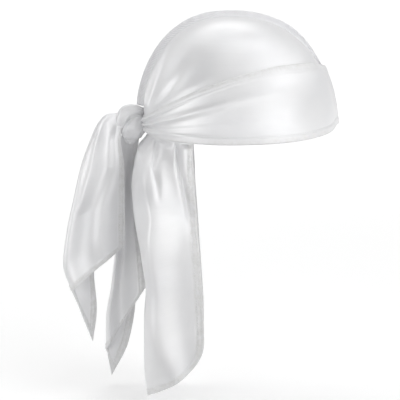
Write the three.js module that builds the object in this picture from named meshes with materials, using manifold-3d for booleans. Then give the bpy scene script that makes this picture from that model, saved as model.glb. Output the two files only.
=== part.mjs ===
// Satin durag in the form it has when it is worn and tied at the back.
// Frame: +X forward, +Y to the wearer's left, +Z up, in millimetres.
// The origin is the top of the hollow for the head, on the centre line.

import * as THREE from "three";
import Module from "manifold-3d";

// Driving dimensions: the head that the durag fits
const front_radius = 101.5;
const back_radius = 87;
const half_width = 74.8;
const crown_height = 115;
const plan_power = 2.2;
const front_power = 2.25;
const back_power = 2.27;
const nape_tuck = 7;
const tuck_start = 72;

// Driving dimensions: cloth and clearances
const crown_cloth = 1.4;
const band_cloth = 1.8;
const flap_cloth = 1.2;
const tie_cloth = 1.2;
const seam_cloth = 1.8;
const layer_gap = 0.5;
const joint_gap = 0.3;
const hem_rise = 0.5;
const band_end_turn = 0.98;
const band_spacing = 1.15;
const band_end_fade = 0.05;

// Driving dimensions: the pieces themselves
const seam_height = 6.9;
const pressed_seam_height = 2.3;
const rim_cover = 4;
const seam_lean = 0.9;
const seam_rise_run = 40;
const seam_knot_clearance = 0.56;
const wrinkle_depth = 1.5;
const wrinkle_middle = 0.2;
const wrinkle_start = 36;
const wrinkle_hold = 42;
const wrinkle_fade = 62;
const wrinkle_above_band = 9;
const wrinkle_seam_fade = 6;
const wrinkle_angle = 1.12;
const wrinkle_turns = 13.8;
const knot_length = 24;
const knot_height = 36;
const knot_depth = 18;
const strand_width = 10.6;
const strand_depth = 17;
const strand_end_start = 0.7;
const strand_end_size = 0.12;
const flap_length = 266;
const flap_corner = 66;
const flap_turn = 1.13;
const far_flap_share = 0.985;
const flap_release = 0.05;
const flap_fold_release = 0.04;
const channel_corner = 12;
const corner_lead = 0.037;
const nape_fold = 7;
const nape_fold_place = 0.3;
const nape_fold_width = 0.15;
const nape_fold_drop = 0.14;
const channel_start = 0.3;
const near_tie_length = 221;
const near_tie_spread = 65;
const far_tie_length = 263;
const far_tie_spread = 30;
const roll_radius = 4;
const tie_fold_at = 0.62;
const tie_fold_softness = 0.1;
const tie_cheek = 0.1;
const tie_ridge_start = 5;

// Each row is one place round the rim, from the front (turn 0) to the knot (turn 1).
// Both edges of the wrap band are shares of the crown's height below its top.
const band_edges = [
  { turn: 0.0, lower: 0.906, upper: 0.403 },
  { turn: 0.12, lower: 0.952, upper: 0.37 },
  { turn: 0.2, lower: 0.979, upper: 0.363 },
  { turn: 0.33, lower: 1.012, upper: 0.377 },
  { turn: 0.43, lower: 1.023, upper: 0.425 },
  { turn: 0.52, lower: 1.026, upper: 0.488 },
  { turn: 0.63, lower: 1.018, upper: 0.583 },
  { turn: 0.76, lower: 0.999, upper: 0.72 },
  { turn: 0.85, lower: 0.984, upper: 0.796 },
  { turn: 0.94, lower: 0.969, upper: 0.842 },
  { turn: 1.0, lower: 0.966, upper: 0.862 },
];

// Soft ridges of the band where it is drawn into the knot: shares of the band's
// height at the knot and further round, how far round they reach, share widths, heights in mm.
const band_folds = [
  { at_knot: 0.14, at_side: 0.27, reach: 0.55, width: 0.07, height: 1.8 },
  { at_knot: 0.4, at_side: 0.7, reach: 0.8, width: 0.08, height: 2.2 },
  { at_knot: 0.64, at_side: 0.84, reach: 0.45, width: 0.06, height: 1.7 },
  { at_knot: 0.86, at_side: 0.95, reach: 0.5, width: 0.06, height: 1.3 },
];

// The flap's back fold and free front edges by height: lengths are shares of the head's
// back radius (back, front) and half width (spread), and drop is a share of the flap's length.
const flap_rows = [
  { drop: 0.0, back: 0.945, front: 0.425, spread: 0.92, bow: 0.95 },
  { drop: 0.05, back: 1.025, front: 0.42, spread: 0.88, bow: 0.9 },
  { drop: 0.13, back: 1.092, front: 0.41, spread: 0.83, bow: 0.8 },
  { drop: 0.22, back: 1.124, front: 0.4, spread: 0.75, bow: 0.7 },
  { drop: 0.32, back: 1.09, front: 0.378, spread: 0.67, bow: 0.6 },
  { drop: 0.45, back: 1.02, front: 0.35, spread: 0.6, bow: 0.52 },
  { drop: 0.6, back: 0.962, front: 0.318, spread: 0.53, bow: 0.46 },
  { drop: 0.72, back: 0.985, front: 0.298, spread: 0.47, bow: 0.42 },
  { drop: 0.86, back: 0.99, front: 0.295, spread: 0.42, bow: 0.4 },
  { drop: 1.0, back: 0.93, front: 0.295, spread: 0.36, bow: 0.4 },
];

// How far out the near half hangs at each drop, a share of the head's half width.
const near_spread = [
  { drop: 0.0, spread: 0.935 },
  { drop: 0.05, spread: 0.95 },
  { drop: 0.13, spread: 0.965 },
  { drop: 0.22, spread: 0.985 },
  { drop: 0.32, spread: 1.0 },
  { drop: 0.6, spread: 1.04 },
  { drop: 0.86, spread: 1.07 },
  { drop: 1.0, spread: 1.085 },
];

// Long folds of the far half: share of its width where each starts, passes its middle
// and ends, the stretch of the drop that it runs over, share width, height in mm.
const far_flap_folds = [
  { first: 0.27, middle: 0.41, last: 0.37, from: 0.03, to: 0.5, width: 0.07, height: 3 },
  { first: 0.75, middle: 0.82, last: 0.93, from: -0.05, to: 0.42, width: 0.06, height: -3 },
  { first: 0.55, middle: 0.61, last: 0.65, from: -0.02, to: 0.5, width: 0.1, height: 3 },
  { first: 0.35, middle: 0.27, last: 0.67, from: 0.38, to: 1.1, width: 0.09, height: 4 },
  { first: 0.67, middle: 0.71, last: 0.89, from: 0.38, to: 1.05, width: 0.1, height: -3.5 },
];

// Ridges of the near half, each with rows down the cloth: the crest as a share from the
// back fold to the front edge, its height and its widths behind and ahead, in mm.
const near_flap_ridges = [
  [
    { at: -0.02, crest: 0.05, height: 1.5, behind: 5, ahead: 9 },
    { at: 0.07, crest: 0.1, height: 5.5, behind: 5, ahead: 12 },
    { at: 0.136, crest: 0.19, height: 8, behind: 5.5, ahead: 16 },
    { at: 0.206, crest: 0.28, height: 10, behind: 6, ahead: 20 },
    { at: 0.276, crest: 0.31, height: 11.5, behind: 7, ahead: 24 },
    { at: 0.398, crest: 0.2, height: 12, behind: 7, ahead: 27 },
    { at: 0.482, crest: 0.14, height: 11.5, behind: 7, ahead: 27 },
    { at: 0.585, crest: 0.12, height: 11, behind: 8, ahead: 26 },
    { at: 0.688, crest: 0.18, height: 11, behind: 11, ahead: 26 },
    { at: 0.776, crest: 0.3, height: 11, behind: 14, ahead: 24 },
    { at: 0.861, crest: 0.48, height: 9.5, behind: 18, ahead: 19 },
    { at: 0.924, crest: 0.65, height: 6.5, behind: 18, ahead: 15 },
    { at: 1.05, crest: 0.8, height: 2, behind: 14, ahead: 12 },
  ],
  [
    { at: -0.03, crest: 0.27, height: 1.5, behind: 5, ahead: 10 },
    { at: 0.03, crest: 0.3, height: 4, behind: 4.5, ahead: 12 },
    { at: 0.08, crest: 0.36, height: 5.5, behind: 4.5, ahead: 12 },
    { at: 0.17, crest: 0.42, height: 3, behind: 5, ahead: 12 },
    { at: 0.25, crest: 0.45, height: 0, behind: 6, ahead: 12 },
  ],
  [
    { at: -0.02, crest: 0.66, height: -3.2, behind: 2.6, ahead: 4 },
    { at: 0.125, crest: 0.77, height: -3.8, behind: 3, ahead: 4 },
    { at: 0.215, crest: 0.86, height: -3.2, behind: 3.2, ahead: 4 },
    { at: 0.42, crest: 0.95, height: 0, behind: 4, ahead: 4 },
  ],
  [
    { at: 0.28, crest: 1.0, height: 0, behind: 16, ahead: 8 },
    { at: 0.45, crest: 1.04, height: 6, behind: 20, ahead: 8 },
    { at: 0.7, crest: 1.05, height: 6.5, behind: 18, ahead: 8 },
    { at: 0.85, crest: 1.08, height: 5, behind: 14, ahead: 8 },
    { at: 1.0, crest: 1.12, height: 0, behind: 10, ahead: 8 },
  ],
];

// The three long edges of each tie end, from the knot (at 0) to the slanting cut (at 1):
// its fold, the free edge of the front layer and that of the back layer. Each point is
// out, near and up from the knot's centre, in shares of the tie end's spread and length.
const near_tie_rows = [
  { at: 0.0, fold: [-0.06, -0.05, 0.042], front: [-0.08, -0.08, -0.03], rear: [-0.08, 0.02, 0.0] },
  { at: 0.06, fold: [-0.3, -0.12, 0.04], front: [-0.16, -0.11, -0.035], rear: [-0.3, 0.0, -0.02] },
  { at: 0.12, fold: [-0.47, -0.18, -0.002], front: [-0.155, -0.12, -0.055], rear: [-0.42, -0.03, -0.08] },
  { at: 0.2, fold: [-0.58, -0.24, -0.069], front: [-0.135, -0.125, -0.087], rear: [-0.46, -0.05, -0.167] },
  { at: 0.35, fold: [-0.73, -0.3, -0.193], front: [-0.09, -0.14, -0.172], rear: [-0.51, -0.06, -0.324] },
  { at: 0.5, fold: [-0.83, -0.34, -0.321], front: [-0.08, -0.16, -0.259], rear: [-0.54, -0.07, -0.481] },
  { at: 0.7, fold: [-0.95, -0.39, -0.493], front: [-0.07, -0.19, -0.377], rear: [-0.56, -0.08, -0.691] },
  { at: 0.85, fold: [-1.0, -0.41, -0.624], front: [-0.07, -0.21, -0.465], rear: [-0.52, -0.09, -0.848] },
  { at: 1.0, fold: [-0.875, -0.41, -0.748], front: [-0.08, -0.22, -0.552], rear: [-0.585, -0.1, -1.0] },
];
const far_tie_rows = [
  { at: 0.0, fold: [-0.2, 0.07, -0.035], front: [0.13, 0.1, -0.035], rear: [0.1, 0.2, -0.035] },
  { at: 0.06, fold: [-0.39, 0.2, -0.105], front: [0.2, 0.3, -0.095], rear: [0.17, 0.46, -0.12] },
  { at: 0.12, fold: [-0.42, 0.34, -0.163], front: [0.18, 0.46, -0.133], rear: [0.18, 0.62, -0.177] },
  { at: 0.2, fold: [-0.45, 0.44, -0.229], front: [0.17, 0.62, -0.179], rear: [0.2, 0.78, -0.253] },
  { at: 0.35, fold: [-0.48, 0.52, -0.354], front: [0.165, 0.74, -0.267], rear: [0.22, 0.93, -0.397] },
  { at: 0.5, fold: [-0.51, 0.56, -0.478], front: [0.22, 0.78, -0.356], rear: [0.21, 0.98, -0.542] },
  { at: 0.7, fold: [-0.67, 0.57, -0.643], front: [0.33, 0.8, -0.474], rear: [0.11, 1.0, -0.734] },
  { at: 0.85, fold: [-0.84, 0.57, -0.766], front: [0.43, 0.8, -0.562], rear: [-0.13, 0.98, -0.876] },
  { at: 1.0, fold: [-0.86, 0.57, -0.89], front: [0.48, 0.77, -0.651], rear: [-0.69, 0.77, -1.0] },
];

// Ridges of the tie ends, each with rows along the strip: the crest as a share across it
// from the front layer's free edge, its height in mm towards the near side, and its share
// widths towards the fold and towards the free edge.
const near_tie_ridges = [
  [
    { at: 0.1, crest: 0.44, height: 0, behind: 0.05, ahead: 0.12 },
    { at: 0.2, crest: 0.426, height: 3, behind: 0.05, ahead: 0.13 },
    { at: 0.35, crest: 0.404, height: 4, behind: 0.05, ahead: 0.13 },
    { at: 0.5, crest: 0.431, height: 3.5, behind: 0.05, ahead: 0.13 },
    { at: 0.62, crest: 0.44, height: 0, behind: 0.05, ahead: 0.12 },
  ],
  [
    { at: 0.38, crest: 0.15, height: 0, behind: 0.08, ahead: 0.13 },
    { at: 0.5, crest: 0.165, height: 2.5, behind: 0.08, ahead: 0.13 },
    { at: 0.65, crest: 0.2, height: 4.2, behind: 0.08, ahead: 0.15 },
    { at: 0.85, crest: 0.197, height: 4.5, behind: 0.08, ahead: 0.15 },
    { at: 1.1, crest: 0.17, height: 4, behind: 0.08, ahead: 0.14 },
  ],
  [
    { at: 0.2, crest: 0.57, height: 0, behind: 0.05, ahead: 0.14 },
    { at: 0.5, crest: 0.57, height: 3, behind: 0.05, ahead: 0.17 },
    { at: 0.85, crest: 0.565, height: 4, behind: 0.05, ahead: 0.18 },
    { at: 1.1, crest: 0.55, height: 3.5, behind: 0.06, ahead: 0.18 },
  ],
  [
    { at: 0.05, crest: 0.12, height: 1, behind: 0.08, ahead: 0.09 },
    { at: 0.2, crest: 0.1, height: 2.8, behind: 0.08, ahead: 0.08 },
    { at: 0.35, crest: 0.09, height: 2.8, behind: 0.08, ahead: 0.08 },
    { at: 0.66, crest: 0.08, height: 0, behind: 0.1, ahead: 0.08 },
  ],
];
const far_tie_ridges = [
  [
    { at: 0.1, crest: 0.5, height: 0, behind: 0.05, ahead: 0.1 },
    { at: 0.3, crest: 0.5, height: 2, behind: 0.05, ahead: 0.12 },
    { at: 1.2, crest: 0.47, height: 2.4, behind: 0.06, ahead: 0.12 },
  ],
  [
    { at: 0.1, crest: 0.31, height: 0, behind: 0.05, ahead: 0.1 },
    { at: 0.3, crest: 0.31, height: 2, behind: 0.05, ahead: 0.12 },
    { at: 1.2, crest: 0.28, height: 2.4, behind: 0.06, ahead: 0.12 },
  ],
  [
    { at: 0.1, crest: 0.02, height: 0, behind: 0.1, ahead: 0.1 },
    { at: 0.3, crest: 0.02, height: 3, behind: 0.12, ahead: 0.1 },
    { at: 1.1, crest: 0.02, height: 3, behind: 0.12, ahead: 0.1 },
  ],
];

// Middle line of the strand over the knot, in shares of the knot's half length (out),
// half depth (near) and half height (up), and the strand's size there as a share.
const strand_rows = [
  { out: 0.72, near: -0.1, up: 0.52, size: 0.72 },
  { out: 0.42, near: -0.2, up: 0.66, size: 0.92 },
  { out: -0.02, near: -0.25, up: 0.71, size: 1.0 },
  { out: -0.4, near: -0.25, up: 0.5, size: 1.0 },
  { out: -0.55, near: -0.25, up: 0.12, size: 0.98 },
  { out: -0.58, near: -0.2, up: -0.22, size: 0.8 },
  { out: -0.5, near: -0.1, up: -0.46, size: 0.5 },
];

// Numbers of steps along and across each cloth
const crown_steps = { round: 26, up: 10 };
const band_steps = { round: 33, across: [0, 0.07, 0.11, 0.27, 0.43, 0.58, 0.73, 0.89, 0.93, 1] };
const seam_steps = 16;
const flap_steps = { across: 38, down: 16, crowding: 0.75 };
const tie_steps = { across: 18, down: 15 };
const knot_sides = 16;
const strand_steps = 12;
const strand_sides = 12;

// Satin colours of the pieces
const satin = { color: 0xe9eaec, roughness: 0.38, metalness: 0.0 };
const thread_satin = { color: 0xdfe0e3, roughness: 0.6, metalness: 0.0 };

const wasm = await Module();
wasm.setup();

const mix = (from, to, share) => from + (to - from) * share;
const clamp = (value) => Math.min(1, Math.max(0, value));
const ease = (value) => clamp(value) ** 2 * (3 - 2 * clamp(value));
const bell = (distance, width) => Math.exp(-((distance / width) ** 2));

// Smooth curve through one column of a table, with no overshoot between its rows. With
// level ends it sets out and arrives flat, as an outline does where it crosses the centre line.
function through(rows, key, read, at, level_ends = false) {
  const last = rows.length - 1;
  let row = 0;
  while (row < last - 1 && at > rows[row + 1][key]) row += 1;
  const slope = (a, b) => (read(rows[b]) - read(rows[a])) / (rows[b][key] - rows[a][key]);
  const bend = (k) => {
    if (level_ends && (k === 0 || k === last)) return 0;
    if (k === 0) return slope(0, 1);
    if (k === last) return slope(last - 1, last);
    const before = slope(k - 1, k);
    const after = slope(k, k + 1);
    return before * after > 0 ? (2 * before * after) / (before + after) : 0;
  };
  const span = rows[row + 1][key] - rows[row][key];
  const t = clamp((at - rows[row][key]) / span);
  const start = read(rows[row]);
  const end = read(rows[row + 1]);
  const ease_out = span * bend(row) * t * (1 - t) ** 2;
  const ease_in = span * bend(row + 1) * t ** 2 * (1 - t);
  return start * (1 - t) ** 2 * (1 + 2 * t) + end * t ** 2 * (3 - 2 * t) + ease_out - ease_in;
}

// Height of ridges whose crests wander over a cloth: a bell across each, of one width on
// one side of its crest and another on the other, with every value smooth down the cloth.
function ridge_height(ridges, at, place, scale) {
  return ridges.reduce((height, rows) => {
    const value = (key) => through(rows, "at", (row) => row[key], at);
    const distance = (place - value("crest")) * scale;
    return height + value("height") * bell(distance, value(distance < 0 ? "behind" : "ahead"));
  }, 0);
}

// Closed mesh from a list of points and faces: equal points are merged, and the
// faces are turned to point outwards.
function solid(points, faces) {
  const places = new Map();
  const kept = [];
  const index = points.map((point) => {
    const place = point.toArray().map((value) => value.toFixed(4)).join(" ");
    if (!places.has(place)) {
      places.set(place, kept.length);
      kept.push(point);
    }
    return places.get(place);
  });
  const triangles = [];
  for (const [a, b, c, d] of faces) {
    const corners = d === undefined ? [[a, b, c]] : [[a, b, c], [a, c, d]];
    for (const corner of corners) {
      const [p, q, r] = corner.map((k) => index[k]);
      if (p !== q && q !== r && r !== p) triangles.push([p, q, r]);
    }
  }
  const volume = triangles.reduce((sum, [p, q, r]) => {
    return sum + kept[p].dot(new THREE.Vector3().crossVectors(kept[q], kept[r])) / 6;
  }, 0);
  const outward = volume > 0 ? triangles : triangles.map(([p, q, r]) => [p, r, q]);
  const geometry = new THREE.BufferGeometry();
  const values = kept.flatMap((point) => point.toArray());
  geometry.setAttribute("position", new THREE.Float32BufferAttribute(values, 3));
  geometry.setIndex(outward.flat());
  return geometry;
}

// Cloth between an inner and an outer face, each a function of two grid steps.
function cloth(across, down, inner, outer) {
  const points = [];
  const place = (face, i, j) => face * (across + 1) * (down + 1) + j * (across + 1) + i;
  for (const face of [inner, outer]) {
    for (let j = 0; j <= down; j += 1) {
      for (let i = 0; i <= across; i += 1) points.push(face(i, j));
    }
  }
  const faces = [];
  for (let j = 0; j < down; j += 1) {
    for (let i = 0; i < across; i += 1) {
      faces.push([place(0, i, j), place(0, i, j + 1), place(0, i + 1, j + 1), place(0, i + 1, j)]);
      faces.push([place(1, i, j), place(1, i + 1, j), place(1, i + 1, j + 1), place(1, i, j + 1)]);
    }
    faces.push([place(0, 0, j), place(1, 0, j), place(1, 0, j + 1), place(0, 0, j + 1)]);
    faces.push([place(0, across, j), place(0, across, j + 1), place(1, across, j + 1), place(1, across, j)]);
  }
  for (let i = 0; i < across; i += 1) {
    faces.push([place(0, i, 0), place(0, i + 1, 0), place(1, i + 1, 0), place(1, i, 0)]);
    faces.push([place(0, i, down), place(1, i, down), place(1, i + 1, down), place(0, i + 1, down)]);
  }
  return solid(points, faces);
}

// Cloth of even thickness about a middle surface, a function of two shares.
function sheet(across, down, surface, thickness) {
  const nudge = 0.002;
  const point = (i, j) => surface(i / across, j / down);
  const normal = (i, j) => {
    const a = i / across;
    const b = j / down;
    const along = surface(Math.min(1, a + nudge), b).sub(surface(Math.max(0, a - nudge), b));
    const down_cloth = surface(a, Math.min(1, b + nudge)).sub(surface(a, Math.max(0, b - nudge)));
    return along.cross(down_cloth).normalize();
  };
  const face = (side) => (i, j) => point(i, j).addScaledVector(normal(i, j), (side * thickness) / 2);
  return cloth(across, down, face(-1), face(1));
}

// Closed tube through rings of points, each ring with the same number of points.
function loft(rings) {
  const sides = rings[0].length;
  const points = rings.flat();
  const faces = [];
  for (let k = 0; k < rings.length - 1; k += 1) {
    for (let s = 0; s < sides; s += 1) {
      const next = (s + 1) % sides;
      faces.push([k * sides + s, k * sides + next, (k + 1) * sides + next, (k + 1) * sides + s]);
    }
  }
  for (const ring of [0, rings.length - 1]) {
    const centre = points.length;
    const sum = rings[ring].reduce((total, point) => total.add(point), new THREE.Vector3());
    points.push(sum.divideScalar(sides));
    for (let s = 0; s < sides; s += 1) {
      const pair = [ring * sides + s, ring * sides + ((s + 1) % sides)];
      faces.push(ring === 0 ? [centre, pair[1], pair[0]] : [centre, pair[0], pair[1]]);
    }
  }
  return solid(points, faces);
}

// What is left of a solid when others are cut away.
function carve(geometry, cutters) {
  const whole = (shape) => {
    return new wasm.Manifold(new wasm.Mesh({
      numProp: 3,
      vertProperties: new Float32Array(shape.getAttribute("position").array),
      triVerts: new Uint32Array(shape.getIndex().array),
    }));
  };
  const cut = cutters.reduce((body, cutter) => body.subtract(whole(cutter)), whole(geometry));
  const largest = cut.decompose().sort((a, b) => b.volume() - a.volume())[0];
  const mesh = largest.getMesh();
  const left = new THREE.BufferGeometry();
  left.setAttribute("position", new THREE.BufferAttribute(mesh.vertProperties, 3));
  left.setIndex(new THREE.BufferAttribute(mesh.triVerts, 1));
  return left;
}

// Head form

const backness = (azimuth) => Math.max(0, -Math.cos(azimuth)) ** 2;
const profile_power = (azimuth) => mix(front_power, back_power, (1 - Math.cos(azimuth)) / 2);

// Outline of the head in plan at an azimuth from the front, as shares of its radii.
function plan(azimuth) {
  const along = Math.abs(Math.cos(azimuth));
  const across = Math.abs(Math.sin(azimuth));
  const reach = (along ** plan_power + across ** plan_power) ** (-1 / plan_power);
  return { along: Math.cos(azimuth) * reach, across: across * reach };
}

// Angle above the widest level at which the form has the height z.
function climb_to(azimuth, z, off) {
  const level = (z + crown_height) / (crown_height + off);
  const power = profile_power(azimuth);
  const width = Math.max(0, 1 - Math.abs(level) ** power) ** (1 / power);
  return Math.atan2(level, width);
}

// Point on the head form, off outside it. Side is -1 on the right and 1 on the left.
function head_point(side, azimuth, climb, off) {
  const { along, across } = plan(azimuth);
  const power = profile_power(azimuth);
  const level = Math.abs(Math.sin(climb));
  const width = Math.abs(Math.cos(climb));
  const reach = (level ** power + width ** power) ** (-1 / power);
  const z = (crown_height + off) * Math.sin(climb) * reach - crown_height;
  const radius = (along > 0 ? front_radius : back_radius) + off;
  const low = Math.max(0, -tuck_start - z) / (crown_height - tuck_start);
  const tuck = nape_tuck * backness(azimuth) * low ** 2;
  const x = along * radius * width * reach + tuck;
  return new THREE.Vector3(x, side * across * (half_width + off) * width * reach, z);
}

const band_edge = (azimuth, edge) => {
  return -crown_height * through(band_edges, "turn", (row) => row[edge], azimuth / Math.PI, true);
};
const rim_height = (azimuth) => band_edge(azimuth, "lower") + rim_cover;

// Knot place, behind the band at the back of the head
const knot_level = -0.89 * crown_height;
const band_inside = crown_cloth + layer_gap;
const band_outside = band_inside + band_cloth;
const knot_seat = head_point(1, Math.PI, climb_to(Math.PI, knot_level, 0), band_outside + hem_rise).x;
const knot_centre = new THREE.Vector3(
  knot_seat - joint_gap - knot_length / 2,
  -knot_depth / 6,
  knot_level,
);

// Crown

// Creases of the crown that fan out from the knot, fading with distance and at the band.
function crown_wrinkle(azimuth, z, x) {
  const away = Math.hypot(x - knot_seat, z - knot_level);
  const angle = Math.atan2(z - knot_level, x - knot_seat);
  const wave = Math.cos((angle - wrinkle_angle) * wrinkle_turns);
  const fade = ease(away / wrinkle_start) * (1 - ease((away - wrinkle_hold) / wrinkle_fade));
  const clear = ease((z - band_edge(azimuth, "upper")) / wrinkle_above_band);
  const off_seam = ease(Math.sin(azimuth) * wrinkle_seam_fade);
  return wrinkle_depth * (wave - wrinkle_middle) * fade * clear * off_seam;
}

// One half of the crown, from the centre seam down to its rim.
function crown_panel(side) {
  const face = (off) => (i, j) => {
    const azimuth = (Math.PI * i) / crown_steps.round;
    const low = climb_to(azimuth, rim_height(azimuth), off);
    const climb = mix(low, Math.PI / 2, (j / crown_steps.up) ** 0.9);
    const plain = head_point(side, azimuth, climb, off);
    const lift = crown_wrinkle(azimuth, plain.z, plain.x);
    const point = head_point(side, azimuth, climb, off + lift);
    point.y = side * Math.max(Math.abs(point.y), joint_gap / 2);
    return point;
  };
  return cloth(crown_steps.round, crown_steps.up, face(0), face(crown_cloth));
}

// Standing seam allowance along the centre line, pressed flat under the band.
function crown_seam() {
  const base = crown_cloth + joint_gap;
  const rings = [];
  const ring = (azimuth, climb) => {
    const level = head_point(1, azimuth, climb, base).z;
    const front = azimuth < Math.PI / 2;
    const over_band = level - band_edge(azimuth, "upper");
    const risen = mix(pressed_seam_height, seam_lean * seam_height, ease(over_band / seam_rise_run));
    const height = front ? risen : mix(seam_lean, 1, ease(Math.cos(climb) * 2)) * seam_height;
    const foot = head_point(1, azimuth, climb, base);
    const top = head_point(1, azimuth, climb, base + height);
    return [-1, 1].flatMap((side) => {
      const pair = side < 0 ? [foot, top] : [top, foot];
      return pair.map((point) => new THREE.Vector3(point.x, (side * seam_cloth) / 2, point.z));
    });
  };
  const front_end = climb_to(0, rim_height(0) + seam_cloth, base);
  const back_end = climb_to(Math.PI, knot_level + seam_knot_clearance * knot_height, base);
  for (let k = 0; k < seam_steps; k += 1) {
    rings.push(ring(0, mix(front_end, Math.PI / 2, k / seam_steps)));
  }
  for (let k = seam_steps; k >= 0; k -= 1) {
    rings.push(ring(Math.PI, mix(back_end, Math.PI / 2, k / seam_steps)));
  }
  return loft(rings);
}

// Wrap band

// Height of the band's gathers above its plain face, at a share across it.
function band_gather(turn, share) {
  const from_knot = 1 - turn;
  return band_folds.reduce((height, fold) => {
    const centre = mix(fold.at_knot, fold.at_side, ease(from_knot / fold.reach));
    const fade = 1 - ease(from_knot / fold.reach);
    const under_knot = ease((band_end_turn - turn) / band_end_fade);
    return height + fold.height * bell(share - centre, fold.width) * fade * under_knot;
  }, 0);
}

// Band from the knot round the front and back to the knot, lying over the crown.
function wrap_band() {
  const rows = band_steps.across;
  const full = 2 * band_steps.round;
  const face = (outer) => (i, j) => {
    const place = i / band_steps.round - 1;
    const side = place < 0 ? -1 : 1;
    const turn = band_end_turn * Math.abs(place) ** band_spacing;
    const azimuth = Math.PI * turn;
    const share = rows[j];
    const z = mix(band_edge(azimuth, "lower"), band_edge(azimuth, "upper"), share);
    const across = Math.abs(head_point(side, azimuth, 0, 0).y);
    const tent = pressed_seam_height + 2 * joint_gap;
    const over_seam = turn < 0.5 ? tent * bell(across, 3 * tent) : 0;
    const hem = outer && (share < 0.1 || share > 0.9) ? hem_rise : 0;
    const off = (outer ? band_outside : band_inside) + over_seam + hem + band_gather(turn, share);
    return head_point(side, azimuth, climb_to(azimuth, z, off), off);
  };
  return cloth(full, rows.length - 1, face(false), face(true));
}

// Knot

const ellipsoid = (grow) => {
  const ball = new THREE.SphereGeometry(1, knot_sides, knot_sides * 0.75);
  ball.rotateX(Math.PI / 2);
  ball.scale(knot_length / 2 + grow, knot_depth / 2 + grow, knot_height / 2 + grow);
  ball.translate(knot_centre.x, knot_centre.y, knot_centre.z);
  const corners = ball.getAttribute("position");
  const corner = (k) => new THREE.Vector3().fromBufferAttribute(corners, k);
  const points = Array.from({ length: corners.count }, (_, k) => corner(k));
  const index = ball.getIndex().array;
  const faces = Array.from({ length: index.length / 3 }, (_, k) => index.slice(3 * k, 3 * k + 3));
  return solid(points, faces.map((face) => Array.from(face)));
};

// Strand that comes over the top of the knot and tucks in at its lower left.
function knot_strand(grow) {
  const middle = new THREE.CatmullRomCurve3(strand_rows.map((row) => {
    return new THREE.Vector3(
      knot_centre.x + (row.out * knot_length) / 2,
      knot_centre.y + (row.near * knot_depth) / 2,
      knot_centre.z + (row.up * knot_height) / 2,
    );
  }));
  const sizes = strand_rows.map((row, k) => ({ at: k / (strand_rows.length - 1), size: row.size }));
  const rings = [];
  for (let k = 0; k <= strand_steps; k += 1) {
    const at = k / strand_steps;
    const tangent = middle.getTangent(at);
    const depth = new THREE.Vector3(0, 1, 0);
    const width = new THREE.Vector3().crossVectors(tangent, depth).normalize();
    const past = Math.max(0, Math.abs(2 * at - 1) - strand_end_start) / (1 - strand_end_start);
    const round_end = Math.sqrt(Math.max(strand_end_size, 1 - 0.81 * past ** 2));
    const size = through(sizes, "at", (row) => row.size, at) * round_end;
    rings.push(Array.from({ length: strand_sides }, (_, s) => {
      const angle = (2 * Math.PI * s) / strand_sides;
      return middle.getPoint(at)
        .addScaledVector(width, Math.cos(angle) * ((strand_width * size) / 2 + grow))
        .addScaledVector(depth, Math.sin(angle) * ((strand_depth * size) / 2 + grow));
    }));
  }
  return loft(rings);
}

// Neck flap

const flap_top = () => rim_height(Math.PI) - layer_gap;
const flap_row = (key, drop) => through(flap_rows, "drop", (row) => row[key], drop);

// Plan of the far half at a height: between a straight line and a quarter oval.
function far_plan(thread, z) {
  const drop = (flap_top() - z) / flap_length;
  const bow = flap_row("bow", drop);
  const forward = mix(thread, 1 - Math.cos((thread * Math.PI) / 2), bow);
  const outward = mix(thread, Math.sin((thread * Math.PI) / 2), bow);
  const x = -back_radius * mix(flap_row("back", drop), flap_row("front", drop), forward);
  return new THREE.Vector3(x, half_width * flap_row("spread", drop) * outward, z);
}

// Plan of the near half at a height: under the band the head form's own plan; lower down
// flat across the back, a quarter circle round the corner, then flat to the front edge.
function near_plan(thread, z) {
  const drop = (flap_top() - z) / flap_length;
  const back = back_radius * flap_row("back", drop);
  const long = back - back_radius * flap_row("front", drop);
  const broad = half_width * through(near_spread, "drop", (row) => row.spread, drop);
  const across_back = broad - channel_corner;
  const bend = (channel_corner * Math.PI) / 2;
  const run = thread * (across_back + bend + long - channel_corner);
  const turn = Math.min(Math.PI / 2, Math.max(0, (run - across_back) / channel_corner));
  const straight = Math.max(0, run - across_back - bend);
  const channel_forward = channel_corner * (1 - Math.cos(turn)) + straight;
  const channel_outward = Math.min(run, across_back) + channel_corner * Math.sin(turn);
  const nape = plan(Math.PI - thread * flap_turn);
  const last = plan(Math.PI - flap_turn);
  const oval_forward = (long * (1 + nape.along)) / (1 + last.along);
  const oval_outward = (broad * nape.across) / last.across;
  const blend = ease(drop / channel_start);
  const forward = mix(oval_forward, channel_forward, blend);
  const outward = mix(oval_outward, channel_outward, blend);
  const lead = corner_lead * outward * (1 - forward / long);
  const held = 1 - ease(drop / nape_fold_drop);
  const fold = nape_fold * bell(thread - nape_fold_place, nape_fold_width) * held;
  return new THREE.Vector3(-back + forward + lead - fold, -outward, z);
}

// Height of the far half's long folds at a thread and a drop.
function far_fold(thread, drop) {
  return far_flap_folds.reduce((height, fold) => {
    const at = (drop - fold.from) / (fold.to - fold.from);
    const path = [{ at: 0, c: fold.first }, { at: 0.5, c: fold.middle }, { at: 1, c: fold.last }];
    const centre = through(path, "at", (row) => row.c, clamp(at));
    const fade = ease(at * 6) * ease((1 - at) * 3.5);
    return height + fold.height * bell(thread - centre, fold.width) * fade;
  }, 0);
}

// Hanging point of the far half, with its folds raised square to the cloth.
function far_hang(thread, z, drop) {
  const nudge = 0.01;
  const ahead = far_plan(Math.min(1, thread + nudge), z);
  const run = ahead.sub(far_plan(Math.max(0, thread - nudge), z)).normalize();
  const outwards = new THREE.Vector3(-Math.abs(run.y), Math.abs(run.x), 0);
  return far_plan(thread, z).addScaledVector(outwards, far_fold(thread, drop));
}

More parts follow.
